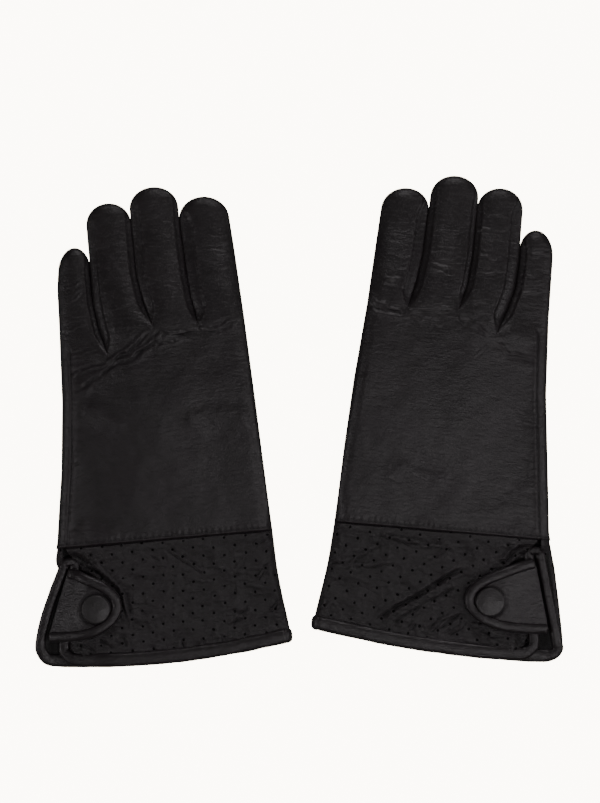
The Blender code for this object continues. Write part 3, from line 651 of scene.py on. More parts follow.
class Nodes:
    """Short calls for building a shader."""

    def __init__(self, name):
        self.material = bpy.data.materials.new(name)
        self.material.use_nodes = True
        self.tree = self.material.node_tree
        self.shader = self.tree.nodes["Principled BSDF"]

    def node(self, kind, inputs=(), **settings):
        made = self.tree.nodes.new(kind)
        for key, value in settings.items():
            setattr(made, key, value)
        for key, value in dict(inputs).items():
            self.join(value, made.inputs[key])
        return made

    def join(self, value, socket):
        if isinstance(value, bpy.types.NodeSocket):
            self.tree.links.new(value, socket)
        else:
            socket.default_value = value

    def math(self, operation, a, b=0.0, c=0.0):
        made = self.node("ShaderNodeMath", {0: a, 1: b, 2: c}, operation=operation)
        return made.outputs[0]

    def vector(self, operation, a, b=(0, 0, 0), scale=1.0):
        made = self.node("ShaderNodeVectorMath", {0: a}, operation=operation)
        self.join(*((scale, made.inputs[3]) if operation == "SCALE" else (b, made.inputs[1])))
        return made.outputs["Value" if operation in ("DOT_PRODUCT", "LENGTH") else "Vector"]

    def ramp(self, value, low, high, to_low=0.0, to_high=1.0):
        made = self.node("ShaderNodeMapRange", {"Value": value, "From Min": low, "From Max": high,
                                                "To Min": to_low, "To Max": to_high})
        return made.outputs["Result"]

    def noise(self, where, scale, detail=3.0, roughness=0.55):
        made = self.node("ShaderNodeTexNoise", {"Vector": where, "Scale": scale, "Detail": detail,
                                                "Roughness": roughness})
        return made.outputs["Fac"]

    def mix(self, share, a, b):
        made = self.node("ShaderNodeMix", {"Factor": share}, data_type="RGBA")
        self.join(a, made.inputs["A"])
        self.join(b, made.inputs["B"])
        return next(o for o in made.outputs if o.type == "RGBA")

    def bump(self, height, distance, strength, normal=None):
        inputs = {"Height": height, "Distance": distance, "Strength": strength}
        if normal is not None:
            inputs["Normal"] = normal
        return self.node("ShaderNodeBump", inputs).outputs["Normal"]


def leather(name, colour, roughness, grain=0.5, holes=None, wrinkle=1.0):
    """Nappa leather: fine pebbled grain, soft wrinkles, satin finish, a little wear where it stands out,
    painted shade darkening its hollows and, on the cuff, near-black holes whose darkness is partly painted
    shade.
    """
    n = Nodes(name)
    rest = n.node("ShaderNodeAttribute", attribute_name="rest").outputs["Vector"]
    cells = n.node("ShaderNodeTexVoronoi", {"Vector": rest, "Scale": 1.7}, feature="F1").outputs["Distance"]
    pores = n.node("ShaderNodeTexVoronoi", {"Vector": rest, "Scale": 0.9, "Randomness": 1.0},
                   feature="F1").outputs["Distance"]
    broad = n.noise(rest, 0.035, 3.0)
    patches = n.noise(rest, 0.16, 4.0)
    fine = n.noise(rest, 1.1, 4.0, 0.65)
    stretched = n.vector("MULTIPLY", rest, (0.22, 0.75, 0.6))
    lines = n.node("ShaderNodeTexNoise", {"Vector": stretched, "Scale": 1.0, "Detail": 5.0,
                                          "Roughness": 0.6, "Distortion": 0.6}).outputs["Fac"]
    # Pointiness drives both the lighter rubbed wear on raised edges and the painted shade in hollows
    wear_and_shade_pointiness = n.node("ShaderNodeNewGeometry").outputs["Pointiness"]
    edge = n.ramp(wear_and_shade_pointiness, 0.505, 0.56)
    painted_shade_cavity = n.ramp(wear_and_shade_pointiness, 0.486, 0.43)
    dark = tuple(c * 0.78 for c in colour)
    light = tuple(c * 1.3 for c in colour)
    clouds = n.math("ADD", n.math("MULTIPLY", broad, 0.6), n.math("MULTIPLY", patches, 0.4))
    shade = n.mix(n.ramp(clouds, 0.35, 0.65),
                  (*dark, 1), (*light, 1))
    purple = (colour[0] * 1.15, colour[1] * 0.93, colour[2] * 1.2)
    shade = n.mix(n.ramp(n.noise(rest, 0.05, 2.0), 0.5, 0.72, 0.0, 0.55), shade, (*purple, 1))
    worn_colour = tuple(c * 1.9 + 0.002 for c in colour)
    shade = n.mix(n.math("MULTIPLY", edge, 0.7), shade, (*worn_colour, 1))
    # Painted shade: hollows such as seam grooves, crease valleys and the leather round the rolls are darkened
    # nearly to black
    shade = n.mix(n.math("MULTIPLY", painted_shade_cavity, 0.9), shade, (0.0012, 0.0009, 0.0011, 1))
    satin = n.ramp(n.math("ADD", n.math("MULTIPLY", patches, 0.6), n.math("MULTIPLY", fine, 0.4)), 0.3, 0.7,
                   roughness - 0.07, roughness + 0.09)
    satin = n.math("ADD", satin, n.math("MULTIPLY", painted_shade_cavity, 0.4))
    normal = n.bump(lines, 0.0006, 0.55 * wrinkle)
    normal = n.bump(cells, 0.00016, grain, normal)
    normal = n.bump(pores, 0.0001, grain * 0.6, normal)
    normal = n.bump(fine, 0.00012, grain, normal)
    if holes:
        offset = n.vector("SUBTRACT", rest, (*holes["at"], 0))
        drift = n.node("ShaderNodeTexNoise", {"Vector": rest, "Scale": 0.05, "Detail": 1.0}).outputs["Color"]
        drift = n.vector("SUBTRACT", drift, (0.5, 0.5, 0.5))
        offset = n.vector("ADD", offset, n.vector("SCALE", drift, scale=3.5))
        basis = np.linalg.inv(np.array([holes["first"], holes["second"]]).T)
        parts = []
        for row in basis:
            share = n.vector("DOT_PRODUCT", offset, (float(row[0]), float(row[1]), 0))
            parts.append(n.math("SUBTRACT", share, n.math("ROUND", share)))
        reach = n.vector("ADD", n.vector("SCALE", (*holes["first"], 0), scale=parts[0]),
                         n.vector("SCALE", (*holes["second"], 0), scale=parts[1]))
        away = n.vector("LENGTH", n.vector("MULTIPLY", reach, (1, 1, 0)))
        # The holes are real perforations, but their near-black colour and lowered specular are painted shade,
        # standing in for the dark inside seen through each hole
        hole = n.ramp(away, 0.78, 0.52)
        rim = n.ramp(away, 0.45, 1.05)
        shade = n.mix(hole, shade, (0.0006, 0.0005, 0.0005, 1))
        satin = n.math("ADD", satin, n.math("MULTIPLY", hole, 0.4))
        normal = n.bump(rim, 0.00045, 0.7, normal)
        n.join(n.math("SUBTRACT", 0.5, n.math("MULTIPLY", hole, 0.5)), n.shader.inputs["Specular IOR Level"])
    n.join(shade, n.shader.inputs["Base Color"])
    n.join(satin, n.shader.inputs["Roughness"])
    n.join(normal, n.shader.inputs["Normal"])
    n.join(normal, n.shader.inputs["Coat Normal"])
    n.shader.inputs["Coat Weight"].default_value = 0.3
    n.shader.inputs["Coat Roughness"].default_value = 0.24
    n.shader.inputs["Sheen Weight"].default_value = 0.04
    n.shader.inputs["Sheen Roughness"].default_value = 0.4
    return n.material


def knit(name):
    n = Nodes(name)
    rest = n.node("ShaderNodeAttribute", attribute_name="rest").outputs["Vector"]
    loops = n.node("ShaderNodeTexWave", {"Vector": rest, "Scale": 0.55, "Distortion": 0.6, "Detail": 1.0},
                   bands_direction="X").outputs["Fac"]
    rows = n.node("ShaderNodeTexWave", {"Vector": rest, "Scale": 0.8, "Distortion": 0.8, "Detail": 1.0},
                  bands_direction="Y").outputs["Fac"]
    yarn = n.math("MULTIPLY", loops, rows)
    fuzz = n.noise(rest, 2.5, 3.0)
    n.join(n.mix(n.math("MULTIPLY", yarn, fuzz), (0.006, 0.0055, 0.0055, 1), (0.03, 0.027, 0.027, 1)),
           n.shader.inputs["Base Color"])
    n.shader.inputs["Roughness"].default_value = 0.95
    n.shader.inputs["Sheen Weight"].default_value = 0.25
    n.join(n.bump(yarn, 0.0005, 0.8, n.bump(fuzz, 0.0003, 0.6)), n.shader.inputs["Normal"])
    return n.material


def cotton(name):
    n = Nodes(name)
    rest = n.node("ShaderNodeAttribute", attribute_name="rest").outputs["Vector"]
    twist = n.node("ShaderNodeTexWave", {"Vector": rest, "Scale": 2.2, "Distortion": 0.3},
                   bands_direction="DIAGONAL").outputs["Fac"]
    n.join(n.mix(twist, (0.006, 0.0055, 0.006, 1), (0.02, 0.018, 0.019, 1)), n.shader.inputs["Base Color"])
    n.shader.inputs["Roughness"].default_value = 0.6
    n.join(n.bump(twist, 0.0002, 0.6), n.shader.inputs["Normal"])
    return n.material


def nickel(name):
    n = Nodes(name)
    rest = n.node("ShaderNodeAttribute", attribute_name="rest").outputs["Vector"]
    scuffs = n.noise(rest, 1.6, 5.0, 0.7)
    n.join(n.mix(n.ramp(scuffs, 0.3, 0.7), (0.10, 0.10, 0.105, 1), (0.17, 0.165, 0.165, 1)),
           n.shader.inputs["Base Color"])
    n.shader.inputs["Metallic"].default_value = 1.0
    n.join(n.ramp(scuffs, 0.3, 0.7, 0.25, 0.42), n.shader.inputs["Roughness"])
    n.join(n.bump(scuffs, 0.00005, 0.4), n.shader.inputs["Normal"])
    return n.material


# Pieces of the glove

def share_normals(objects):
    """Where separate pieces of one skin meet, both take the average of their normals, so no line shows."""
    points = np.vstack([np.array([v.co for v in o.data.vertices]) for o in objects])
    normals = np.vstack([np.array([v.normal for v in o.data.vertices]) for o in objects])
    keys = np.round(points / 2e-6).astype(np.int64)
    _, which = np.unique(keys, axis=0, return_inverse=True)
    which = which.reshape(-1)
    total = np.zeros((which.max() + 1, 3))
    np.add.at(total, which, normals)
    total /= np.linalg.norm(total, axis=1)[:, None] + 1e-12
    start = 0
    for made in objects:
        count = len(made.data.vertices)
        made.data.normals_split_custom_set_from_vertices(total[which[start:start + count]].tolist())
        start += count


def hand_and_fingers(glove, mats):
    little, others = glove.data["knuckles"]["little"], glove.data["knuckles"]["ring"]
    shared = np.linspace(0.0, little, int(little / STEP))
    beyond = np.linspace(little, others, max(4, int((others - little) / STEP)))[1:]
    hand, skins = [], []
    for finger in FINGERS:
        rows = shared if finger == "little" else np.concatenate([shared, beyond])
        x, v = np.meshgrid(columns(12.5), rows)
        for top in (True, False):
            u, vv, z = glove.strip(finger, x, v, top)
            faces = sheet_faces(*x.shape)
            hand.append((u, vv, z, faces if top else faces[:, ::-1]))
        if finger == "ring":
            edge = np.array([little, *beyond])
            hand.append(side_wall(glove, finger, 1.0, edge))
        skins.append(knuckle_rows(glove, finger, mats))
    skin = build(glove, "hand_leather", hand, mats["leather"])
    share_normals([skin, *skins])
    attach(skin, f"{glove.name}_hand")
    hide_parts(f"{glove.name}_trank")


def side_wall(glove, finger, x_edge, rows):
    v = np.repeat(rows[:, None], 2, axis=1)
    x = np.full_like(v, x_edge)
    top, low = glove.strip(finger, x, v, True), glove.strip(finger, x, v, False)
    u = np.stack([top[0][:, 0], low[0][:, 0]], 1)
    z = np.stack([top[2][:, 0], low[2][:, 0]], 1)
    faces = sheet_faces(len(rows), 2)
    return u, v, z, faces if x_edge > 0 else faces[:, ::-1]


def knuckle_rows(glove, finger, mats):
    """One finger's leather, from its hinge line to its tip."""
    hinge, tip = glove.data["knuckles"][finger], glove.data["tips"][finger]
    straight = np.linspace(hinge, tip - 8, int((tip - 8 - hinge) / STEP))
    curve = tip - 8 * (1 - np.sin(np.linspace(0, math.pi / 2, int(16 / STEP))[1:]))
    rows = np.concatenate([straight, curve])
    across = columns(12.5)
    x, v = np.meshgrid(across, rows)
    u_top, _, z_top = glove.strip(finger, x, v, True)
    u_low, _, z_low = glove.strip(finger, x, v, False)
    u = np.hstack([u_top, u_low[:, ::-1]])
    z = np.hstack([z_top, z_low[:, ::-1]])
    vv = np.hstack([v, v])
    skin = build(glove, f"{finger}_leather", [(u, vv, z, sheet_faces(*u.shape, wrap=True))], mats["leather"])
    pu, pv, pz = glove.knuckle(finger)
    start, end = glove.world(pu, pv, pz), glove.world(pu, pv + 16, pz)
    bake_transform(skin)
    nodes = [f"{glove.name}_{finger}_leaf", f"{glove.name}_{finger}_lining"]
    for where in ("little_side", "index_side"):
        node = f"{glove.name}_{finger}_fourchette_{where}"
        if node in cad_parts:
            nodes.append(node)
    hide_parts(*nodes)
    return skin


def cuff_surface(glove, share, place, back, inset=0.0):
    """Points of the cuff. share runs from the wrist (0) to the hem (1), place from the index side (0)."""
    u = -55 + 110 * place
    for _ in range(3):
        end = glove.hem(u)
        if not back:
            into = np.clip(u - glove.data["outer_corner"][0] + CORNER_ROUND, 0, CORNER_ROUND)
            end = end + CORNER_ROUND - np.sqrt(CORNER_ROUND ** 2 - into ** 2 + 0.01)
        v = 1.6 + (end - 1.6) * share
        low = glove.line("index_edge", v) + inset
        if back:
            high = glove.back_edge(v) - inset
        else:
            high = glove.palm_edge(v) - inset
        u = low + (high - low) * place
    away = u - low
    curve = np.sqrt(np.clip(1 - (1 - np.minimum(away / 5.0, 1)) ** 2, 0, 1))
    half = glove.back(u, v) / 2 if back else CUFF_THICK / 2
    if back:
        edge_gap = high - u
        dip = smooth((-v - 1) / 8) * (1 - smooth(edge_gap / 13)) * 5.0
        z = CUFF_THICK / 2 + (2 * half - CUFF_THICK / 2 - inset) * curve - dip
    else:
        edge_gap = high - u
        fold = smooth((6 - edge_gap) / 6) ** 2
        z = half - (half - inset) * curve + fold * WRAP_START
    return u, v, z, away


def palm_wrap(glove):
    """The palm's leather turned up round the outline to the roll, and to the side seam above the slit."""
    q, share = np.meshgrid(np.linspace(0, 1, 26), np.linspace(0, 1, int(WRAP_LENGTH / STEP)))
    v = WRAP_TOP - WRAP_LENGTH * share
    apex_u, apex_v = glove.data["apex"]
    outline = glove.palm_edge(v)
    above = smooth((v - apex_v + 4) / 7)
    inner = glove.roll_line(v) * (1 - above) + (apex_u + SLIT_LOOP - 0.5) * above
    top = (PALM_LEG_HEIGHT + 0.4) * (1 - above) + (glove.back(inner, v) - 1.6) * above
    inner = np.minimum(inner, outline - 0.6)
    turn = q * math.pi / 2
    u = outline - (outline - inner) * (1 - np.cos(turn))
    z = WRAP_START + (top - WRAP_START) * np.sin(turn)
    seed = glove.seed + 800
    ripple = 0.5 * (ridged(u / 9, v / 3.0, seed, 2) - 0.4) + 0.3 * rough(u / 12, v / 9, seed + 5)
    z = z + ripple * np.sin(turn) * smooth((1 - share) / 0.1)
    return u, v, np.maximum(z, 0.05), sheet_faces(*u.shape)


def cuff(glove, mats):
    rows = int(62 / STEP)
    cols = int(112 / STEP)
    pieces = []
    for back in (True, False):
        t = np.linspace(0, 1, cols)
        place, share = np.meshgrid(0.75 * t + 0.25 * t * t, np.linspace(0, 1, rows))
        u, v, z, away = cuff_surface(glove, share, place, back)
        calm = smooth(away / 3) * smooth((share - 0.02) / 0.1)
        seed = glove.seed + (300 if back else 700)
        warp_u = u + 3.0 * noise(u / 12, v / 12, seed)
        warp_v = v + 3.0 * noise(u / 12 + 9, v / 12, seed + 1)
        relief = 0.8 * rough(u / 22, v / 18, seed + 2)
        relief = relief + 1.4 * (ridged(warp_u / 15, warp_v / 12, seed + 3, 3) - 0.45)
        relief += 0.6 * (ridged(warp_u / 5.5, warp_v / 4.5, seed + 8, 2) - 0.45)
        hem_pull = bell((v - glove.hem(u) - HEM_HALF - 2) / 3.5)
        relief += 0.35 * hem_pull * (ridged(u / 4.5, v / 14, seed + 12, 2) - 0.4)
        if back:
            relief += 1.35 * creases(u, v, glove.data["cuff_creases"], seed + 20)
        relief += -0.5 * bell((v + 0.9) / 1.0) + 0.25 * bell((v + 3.0) / 1.2)
        z = z + relief * calm * (1 if back else -1)
        z = z - (1.6 * smooth((v + 0.9) / 1.6) if back else -0.9 * smooth((v + 0.9) / 1.6))
        z = np.maximum(z, 0.05)
        faces = sheet_faces(*u.shape)
        pieces.append((u, v, z, faces[:, ::-1] if back else faces))
    pieces.append(palm_wrap(glove))
    skin = build(glove, "cuff_leather", pieces, mats["cuff"])
    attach(skin, f"{glove.name}_hand")
    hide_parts(f"{glove.name}_cuff_back", f"{glove.name}_cuff_palm")


def lining(glove, mats):
    """The knitted lining as it shows through the slit and the mouth, on into the hand."""
    pieces = []
    for back in (True, False):
        place, share = np.meshgrid(np.linspace(0, 1, 60), np.linspace(0, 0.985, 40))
        u, v, z, _ = cuff_surface(glove, share, place, back, inset=LINING_DEPTH)
        if not back:
            z = z + 0.4
        z = z + 0.2 * noise(u / 9, v / 9, glove.seed + 90)
        faces = sheet_faces(*u.shape)
        pieces.append((u, v, z, faces[:, ::-1] if back else faces))
    place, v = np.meshgrid(np.linspace(0, 1, 60), np.linspace(1.6, 98, 50))
    low, high = glove.line("index_edge", v) + 1.6, glove.line("little_edge", v) - 1.6
    u = low + (high - low) * place
    edge = np.minimum(u - low, high - u)
    curve = np.sqrt(np.clip(1 - (1 - np.minimum(edge / 6.0, 1)) ** 2, 0, 1))
    under, over = glove.bottom(u, v) + LINING_DEPTH, glove.back(u, v) - LINING_DEPTH
    for back in (True, False):
        z = (under + over) / 2 + (1 if back else -1) * (over - under) / 2 * curve
        faces = sheet_faces(*u.shape)
        pieces.append((u, v, z, faces[:, ::-1] if back else faces))
    skin = build(glove, "inner_lining", pieces, mats["lining"])
    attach(skin, f"{glove.name}_hand")
    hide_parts(f"{glove.name}_hand_lining", f"{glove.name}_snap_post")


def arc(centre, radius, start, end, steps):
    made = []
    for i in range(steps + 1):
        a = math.radians(start + (end - start) * i / steps)
        out = (math.cos(a), math.sin(a))
        made.append(((centre[0] + radius * out[0], centre[1] + radius * out[1]), out))
    return made


def cuff_binding(glove, mats):
    """One rolled strip: back hem, up the slit, round its top, down the palm side and along the palm's hem."""
    data = glove.data
    fold_u = glove.line("index_edge", -55) + 4.4
    z_back, z_palm = CUFF_THICK - 0.2, ROLL + 0.2
    z_corner = z_back - 3.4
    foot_u = data["back_leg_foot"][0]
    apex_u, apex_v = data["apex"]
    path = []
    for u in np.linspace(fold_u - 2.6, foot_u - 8, 8):
        dip = float(smooth((u - foot_u + 22) / 18))
        path.append(((u, glove.hem(u), z_back + (z_corner - z_back) * dip), (0, 1, 0), HEM_HALF))
    corner_v = glove.hem(foot_u - 4) + 7
    for t, (point, out) in zip((0.3, 0.6, 0.85), arc((foot_u - 7, corner_v), 7, -65, -5, 2)):
        half = HEM_HALF + (SLIT_HALF - HEM_HALF) * t
        path.append(((*point, z_corner - 1.2 * t), (-out[0], -out[1], 0), half))
    top = apex_v - SLIT_LOOP
    for t in (0.25, 0.5, 0.75):
        v = corner_v + 2 + (top - corner_v - 2) * t
        u = foot_u + (apex_u - SLIT_LOOP - foot_u) * t
        path.append(((u, v, BACK_LEG_HEIGHT), (-1, 0, 0), SLIT_HALF))
    for number, (point, out) in enumerate(arc((apex_u, top), SLIT_LOOP, 180, 0, 6)):
        height = BACK_LEG_HEIGHT + (PALM_LEG_HEIGHT - BACK_LEG_HEIGHT) * number / 6
        path.append(((*point, height), (*out, 0), SLIT_HALF))
    for t in (0.3, 0.6, 1.0):
        u, v = through(data["palm_leg"], t)
        path.append(((u, v, PALM_LEG_HEIGHT), (1, 0.3, 0), SLIT_HALF))
    corner = (data["outer_corner"][0] - 2.8, data["outer_corner"][1])
    path.append(((corner[0] + 1.2, corner[1] + 2.6, 3.4), (0.8, -0.5, 0), SLIT_HALF + 0.3))
    path.append(((corner[0] - 1.6, corner[1] - 0.6, 2.7), (0.4, -0.9, 0), SLIT_HALF + 0.6))
    for u in np.linspace(corner[0] - 8, fold_u, 8):
        path.append(((u, glove.hem(u) - 0.8, z_palm), (0, -1, 0), HEM_HALF))
    radius = (z_back - z_palm) / 2
    for point, _ in arc((fold_u, z_palm + radius), radius, -120, -250, 4):
        path.append(((point[0], glove.hem(fold_u), point[1]), (0, -1, 0), HEM_HALF))
    path.append(((fold_u - 0.2, glove.hem(fold_u), z_back), (0, -1, 0), HEM_HALF))
    packed = spline([(*p, *a, h) for p, a, h in path], STEP * 1.4)
    strip = tube(packed[:, :3], packed[:, 3:6], packed[:, 6], ROLL, 26, 0.035, glove.seed + 31)
    made = build(glove, "cuff_roll", [strip], mats["binding"])
    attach(made, f"{glove.name}_hand")
    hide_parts(f"{glove.name}_cuff_binding")


# Tab and snap

class Tab:
    def __init__(self, glove):
        data = glove.data
        self.near, self.far = (np.array(p, float) for p in data["tab_base"])
        self.base = (self.near + self.far) / 2
        self.tip = np.array(data["tab_tip"], float)
        self.reach = np.linalg.norm(self.tip - self.base)

    def point(self, s, r, shrink=0.0):
        s, r = np.asarray(s, float), np.asarray(r, float)
        share = 1 - shrink / self.reach
        reach_up = TAB_REACH_UP * (r > 0) * (1 - np.clip(s, 0, 1)) ** 1.5
        half = (TAB_BASE_HALF - shrink + reach_up) * (1 - (s * 0.999) ** 2.6) ** 0.52
        turn = smooth(s / 0.6)[..., None]
        along_base = (self.near - self.far) / np.linalg.norm(self.near - self.far)
        across = along_base * (1 - turn) + np.array((0.0, 1.0)) * turn
        across = across / np.linalg.norm(across, axis=-1)[..., None]
        p = self.base + (self.tip - self.base) * (s * share)[..., None] + across * (half * r)[..., None]
        return p[..., 0], p[..., 1], self.height(s * share)

    def height(self, s):
        return 6.3 + (TAB_HEIGHT - 6.3) * smooth((s + 0.12) / 0.72) ** 0.8 - 0.8 * smooth((s - 0.7) / 0.3)


def tab(glove, mats):
    shape = Tab(glove)
    base, tip = glove.world(*shape.base, 5.9), glove.world(*shape.tip, 5.9)
    t = np.linspace(0, 1, int(34 / STEP))
    shares = 1 - (1 - t) ** 1.25
    r, s = np.meshgrid(np.linspace(-1, 1, int(36 / STEP)), shares)
    u, v, z = shape.point(s, r, 3.6)
    snap_u, snap_v = glove.data["snap"]
    from_snap = np.hypot(u - snap_u, v - snap_v)
    seed = glove.seed + 400
    z_mid = z + 0.25 * rough(u / 12, v / 10, seed) + 0.14 * (ridged(u / 6, v / 5, seed + 3) - 0.45)
    z_mid = z_mid + 0.35 * bell((from_snap - CAP_RADIUS - 2.5) / 2.2)
    z_mid = z_mid - 0.3 * bell((from_snap - CAP_RADIUS) / 1.0)
    edge = (1 - np.abs(r)) * TAB_BASE_HALF
    stitched = (r < 0) * -0.45 * bell((edge - 1.4) / 0.4)
    upper = (u, v, z_mid + 0.55 + stitched, sheet_faces(*u.shape))
    lower = (u, v, z_mid - 0.5, sheet_faces(*u.shape)[:, ::-1])
    leaf = build(glove, "tab_leather", [upper, lower], mats["leather"])
    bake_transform(leaf)
    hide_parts(f"{glove.name}_tab")
    edge_s = np.concatenate([np.linspace(0, 0.9, 14), [0.95, 0.98]])
    loop = [(s, -1) for s in edge_s] + [(1.0, 0)] + [(s, 1) for s in edge_s[::-1]]
    loop_s, loop_r = np.array(loop, float).T
    points = np.stack(shape.point(loop_s, loop_r, TAB_HALF), -1)
    line = spline(points, STEP * 1.4)
    tangents = np.gradient(line, axis=0)
    across = np.stack([tangents[:, 1], -tangents[:, 0], 0 * tangents[:, 0]], -1)
    roll = build(glove, "tab_roll", [tube(line, across, TAB_HALF, ROLL, 24, 0.03, seed + 9)], mats["binding"])
    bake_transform(roll)
    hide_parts(f"{glove.name}_tab_binding")
    places = []
    for s in np.arange(0.1, 0.9, STITCH_PITCH / shape.reach):
        uu, vv, zz = (float(c) for c in shape.point(s, -0.9, 3.6))
        places.append(((uu, vv, zz + 0.42), (1, 0.05, 0), 1.15))
    sewn = thread(glove, "tab_stitches", places, mats["thread"])
    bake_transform(sewn)


def lathe(profile, centre, steps=72):
    """A round piece from (radius, height) points, as a glove-frame surface."""
    profile = np.array(profile, float)
    angles = np.arange(steps) * 2 * math.pi / steps
    u = centre[0] + profile[:, :1] * np.cos(angles)
    v = centre[1] + profile[:, :1] * np.sin(angles)
    z = centre[2] + profile[:, 1:] + 0 * angles
    return u, v, z, sheet_faces(len(profile), steps, wrap=True)


def cuff_top(glove, u, v):
    """Height of the cuff's back, where the stud is set."""
    edge = glove.back_edge(v)
    return float(glove.back(u, v)) - 5.0 * float(smooth((-v - 1) / 8) * (1 - smooth((edge - u) / 13)))


def snap(glove, mats):
    u, v = glove.data["snap"]
    hand, body = f"{glove.name}_hand", f"{glove.name}_tab"
    angles = np.linspace(0, math.pi / 2, 14)
    dome = [(CAP_RADIUS - 0.9 + 0.9 * math.cos(a), 0.9 + 0.9 * math.sin(a)) for a in angles]
    rim = [(CAP_RADIUS - 0.6, -0.3), (CAP_RADIUS - 0.15, 0.2), (CAP_RADIUS, 0.6)]
    radii = np.linspace(CAP_RADIUS - 1.2, 0.01, 16)
    crown = [(r, 1.8 + 0.55 * (1 - (r / (CAP_RADIUS - 1)) ** 2)) for r in radii]
    pu, pv, pz, faces = lathe(rim + dome[1:] + crown, (u, v, TAB_HEIGHT + 0.75))
    around = np.arctan2(pv - v, pu - u)
    radius = np.hypot(pu - u, pv - v) / CAP_RADIUS
    pz = pz + 0.06 * np.sin(around * 19) * bell((radius - 0.93) / 0.05) + 0.07 * noise(pu / 3, pv / 3, 8)
    cap = build(glove, "covered_cap", [(pu, pv, pz, faces)], mats["cap"])
    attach(cap, body)
    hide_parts(f"{glove.name}_snap_cap")
    ring = [(2.9, -0.6), (2.9, -2.0), (3.3, -2.25), (3.9, -2.1), (4.6, -1.4), (5.0, -0.8), (5.0, 0.1)]
    pu, pv, pz, faces = lathe(spline([(*p, 0) for p in ring], 0.25)[:, :2], (u, v, TAB_HEIGHT - 0.6))
    floor = lathe([(0.01, -0.6), (2.9, -0.6)], (u, v, TAB_HEIGHT - 0.6))
    socket = build(glove, "snap_ring", [(pu, pv, pz, faces), floor], mats["metal"])
    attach(socket, body)
    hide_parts(f"{glove.name}_snap_socket")
    seat = cuff_top(glove, u, v) + 0.35
    base = [(4.4, -0.8), (4.4, 0.1), (4.1, 0.35), (2.0, 0.45)]
    ball = [(1.5, 0.7), (1.9, 1.1), (1.7, 1.4), (1.0, 1.6), (0.01, 1.65)]
    profile = spline([(*p, 0) for p in base + ball], 0.2)[:, :2]
    stud = build(glove, "snap_ball", [lathe(profile, (u, v, seat))], mats["metal"])
    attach(stud, hand)
    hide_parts(f"{glove.name}_snap_stud")


def thumb(glove, mats):
    heading = (math.sin(THUMB_HEADING), math.cos(THUMB_HEADING))
    across = (heading[1], -heading[0])
    t = np.linspace(0, 1, int(80 / STEP))
    ease = 0.5 - 0.5 * np.cos(t * math.pi)
    stations = -THUMB_ROOT + (THUMB_LENGTH + THUMB_ROOT) * (0.6 * t + 0.4 * ease)
    angles = np.arange(96) * 2 * math.pi / 96
    k, s = np.meshgrid(angles, stations)
    root, tip = s + THUMB_ROOT, THUMB_LENGTH - s
    half = THUMB_WIDTH / 2 * (1 - 0.1 * smooth(s / THUMB_LENGTH))
    half = half * np.sqrt(np.clip(1 - (1 - np.minimum(root / THUMB_ROOT, 1)) ** 2, 0, 1))
    half = half * np.sqrt(np.clip(1 - (1 - np.minimum(tip / TIP_ROUND, 1)) ** 2, 0, 1))
    from_end = np.minimum(np.minimum(root, tip) / 5.0, 1)
    thick = THUMB_HEIGHT / 2 * np.sqrt(np.clip(1 - (1 - from_end) ** 2, 0, 1))
    x = np.sign(np.cos(k)) * np.abs(np.cos(k)) ** 0.8
    y = np.sign(np.sin(k)) * np.abs(np.sin(k)) ** 0.8
    seed = glove.seed + 600
    crinkle = 0.18 * (ridged(x * half / 9, s / 4, seed) - 0.5) + 0.12 * rough(s / 12, k, seed + 4)
    seam = -0.45 * bell((np.abs(x) * half - half + 3.0) / 0.5) * smooth((s + 4) / 6)
    z = THUMB_HEIGHT / 2 + y * (thick - 0.15 + np.minimum(crinkle + seam, 0.1))
    # Round its root the thumb rises into the palm's leather, where it is sewn in
    sewn = THUMB_SEWN * smooth((10 - s) / 14) * np.clip(y, 0, 1)
    z = np.clip(z, 0.03, THUMB_HEIGHT + 0.2) + sewn
    u = THUMB_PIVOT[0] + s * heading[0] + x * half * across[0]
    v = THUMB_PIVOT[1] + s * heading[1] + x * half * across[1]
    faces = sheet_faces(*u.shape, wrap=True)[:, ::-1]
    skin = build(glove, "thumb_leather", [(u, v, z, faces)], mats["leather"])
    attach(skin, f"{glove.name}_thumb")
    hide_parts(f"{glove.name}_thumb", f"{glove.name}_thumb_lining")


def stitches(glove, mats):
    """Thread on the hand: the row above the wrist seam and the one in the side seam."""
    wrist = []
    low, high = glove.line("index_edge", 2.1) + 4, glove.line("little_edge", 2.1) - SIDE_SEAM - 1
    for u in np.arange(low, high, STITCH_PITCH):
        wrist.append(surface_point(glove, u, 2.1, (1, 0, 0), 1.1))
    side = []
    for v in np.arange(5.0, glove.data["knuckles"]["little"] + 3, STITCH_PITCH):
        u = glove.line("little_edge", v) - SIDE_SEAM
        slope = glove.line("little_edge", v + 1) - glove.line("little_edge", v)
        side.append(surface_point(glove, u, v, (slope, 1, 0), 1.15))
    sewn = thread(glove, "hand_stitches", wrist + side, mats["thread"])
    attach(sewn, f"{glove.name}_hand")


def surface_point(glove, u, v, along, length):
    """A stitch lying in the groove at (u, v) on the back of the hand."""
    for finger in FINGERS:
        low, high = (glove.line(edge, v) for edge in FINGER_EDGES[finger])
        if u <= high or finger == "little":
            x = np.array([[2 * (u - low) / (high - low) - 1]])
            break
    z = glove.strip(finger, x, np.array([[float(v)]]), True)[2][0, 0]
    return (u, v, float(z) + 0.08), along, length


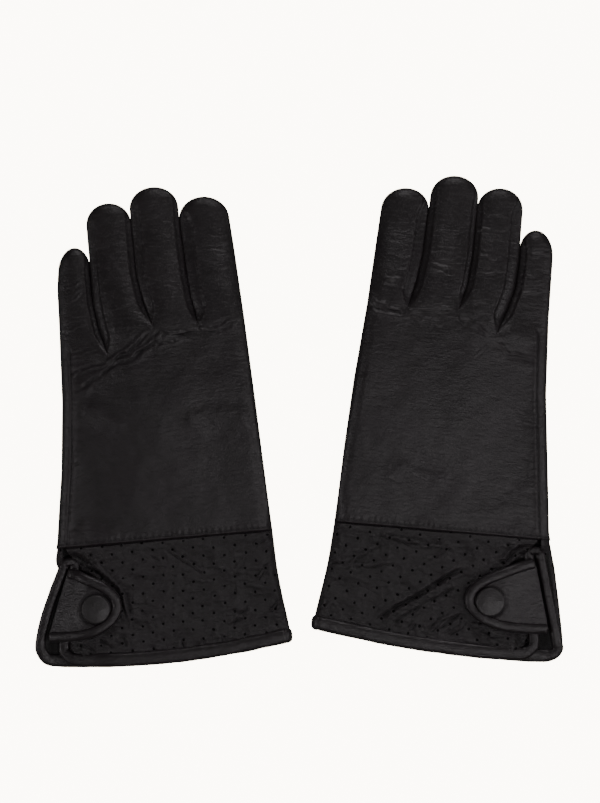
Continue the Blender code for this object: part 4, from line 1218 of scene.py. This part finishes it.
def make_glove(name):
    glove = Glove(name)
    black = (0.0098, 0.0072, 0.0082)
    mats = {
        "leather": leather(f"{name}_nappa", black, 0.42),
        "cuff": leather(f"{name}_perforated", (0.0105, 0.0083, 0.0091), 0.42, 0.8, glove.data["holes"],
                        wrinkle=2.4),
        "binding": leather(f"{name}_rolled_nappa", black, 0.36, 0.4),
        "cap": leather(f"{name}_cap_nappa", (0.02, 0.0185, 0.0185), 0.45, 0.4, wrinkle=0.3),
        "lining": knit(f"{name}_knit"),
        "thread": cotton(f"{name}_thread"),
        "metal": nickel(f"{name}_nickel"),
    }
    hand_and_fingers(glove, mats)
    cuff(glove, mats)
    lining(glove, mats)
    cuff_binding(glove, mats)
    tab(glove, mats)
    snap(glove, mats)
    thumb(glove, mats)
    stitches(glove, mats)


# Studio

# The paper the gloves lie on, in metres, and how brightly it glows
FLOOR_SIZE = 6
BACKDROP_RADIUS = 12
PAPER_GLOW = 11.0


def studio():
    scene = bpy.context.scene
    bpy.ops.mesh.primitive_plane_add(size=FLOOR_SIZE, location=(0, 0, 0))
    floor = bpy.context.object
    floor.name = "floor"
    cream = bpy.data.materials.new("cream_paper")
    cream.use_nodes = True
    shader = cream.node_tree.nodes["Principled BSDF"]
    shader.inputs["Base Color"].default_value = (0.82, 0.8, 0.76, 1)
    shader.inputs["Roughness"].default_value = 0.9
    shader.inputs["Emission Color"].default_value = (1.0, 0.93, 0.80, 1)
    shader.inputs["Emission Strength"].default_value = PAPER_GLOW
    bpy.ops.mesh.primitive_uv_sphere_add(radius=BACKDROP_RADIUS, segments=64, ring_count=32)
    dome = bpy.context.object
    dome.name = "backdrop"
    dome.data.shade_smooth()
    for backdrop in (floor, dome):
        backdrop.data.materials.append(cream)
        # The bright paper is for the camera: black leather would mirror it as white rims
        backdrop.visible_glossy = False
        backdrop.visible_diffuse = False
    dome.visible_shadow = False
    world = bpy.data.worlds.new("studio")
    world.use_nodes = True
    world.node_tree.nodes["Background"].inputs["Color"].default_value = (1.0, 0.98, 0.96, 1)
    world.node_tree.nodes["Background"].inputs["Strength"].default_value = 0.07
    scene.world = world
    for name, place, size, power in (
        ("softbox_top", (0.35, -0.5, 1.5), 0.6, 3.7),
        ("window_back", (0.2, 1.6, 1.0), 0.4, 6.0),
        ("window_left", (-1.3, -0.3, 0.9), 0.4, 3.2),
        ("window_right", (1.3, -0.2, 0.9), 0.4, 3.2),
    ):
        data = bpy.data.lights.new(name, "AREA")
        data.size = size
        data.energy = power
        data.color = (1.0, 0.95, 0.975)
        lamp = bpy.data.objects.new(name, data)
        lamp.location = place
        direction = -np.array(place)
        lamp.rotation_euler = (math.atan2(math.hypot(direction[0], direction[1]), -direction[2]), 0,
                               math.atan2(direction[1], direction[0]) - math.pi / 2)
        scene.collection.objects.link(lamp)
    camera_data = bpy.data.cameras.new("camera")
    camera_data.lens = 100
    camera_data.sensor_width = 36
    camera = bpy.data.objects.new("camera", camera_data)
    camera.location = (0.0005, 0.0107, 1.177)
    scene.collection.objects.link(camera)
    scene.camera = camera


for glove_name in GLOVES:
    make_glove(glove_name)
studio()
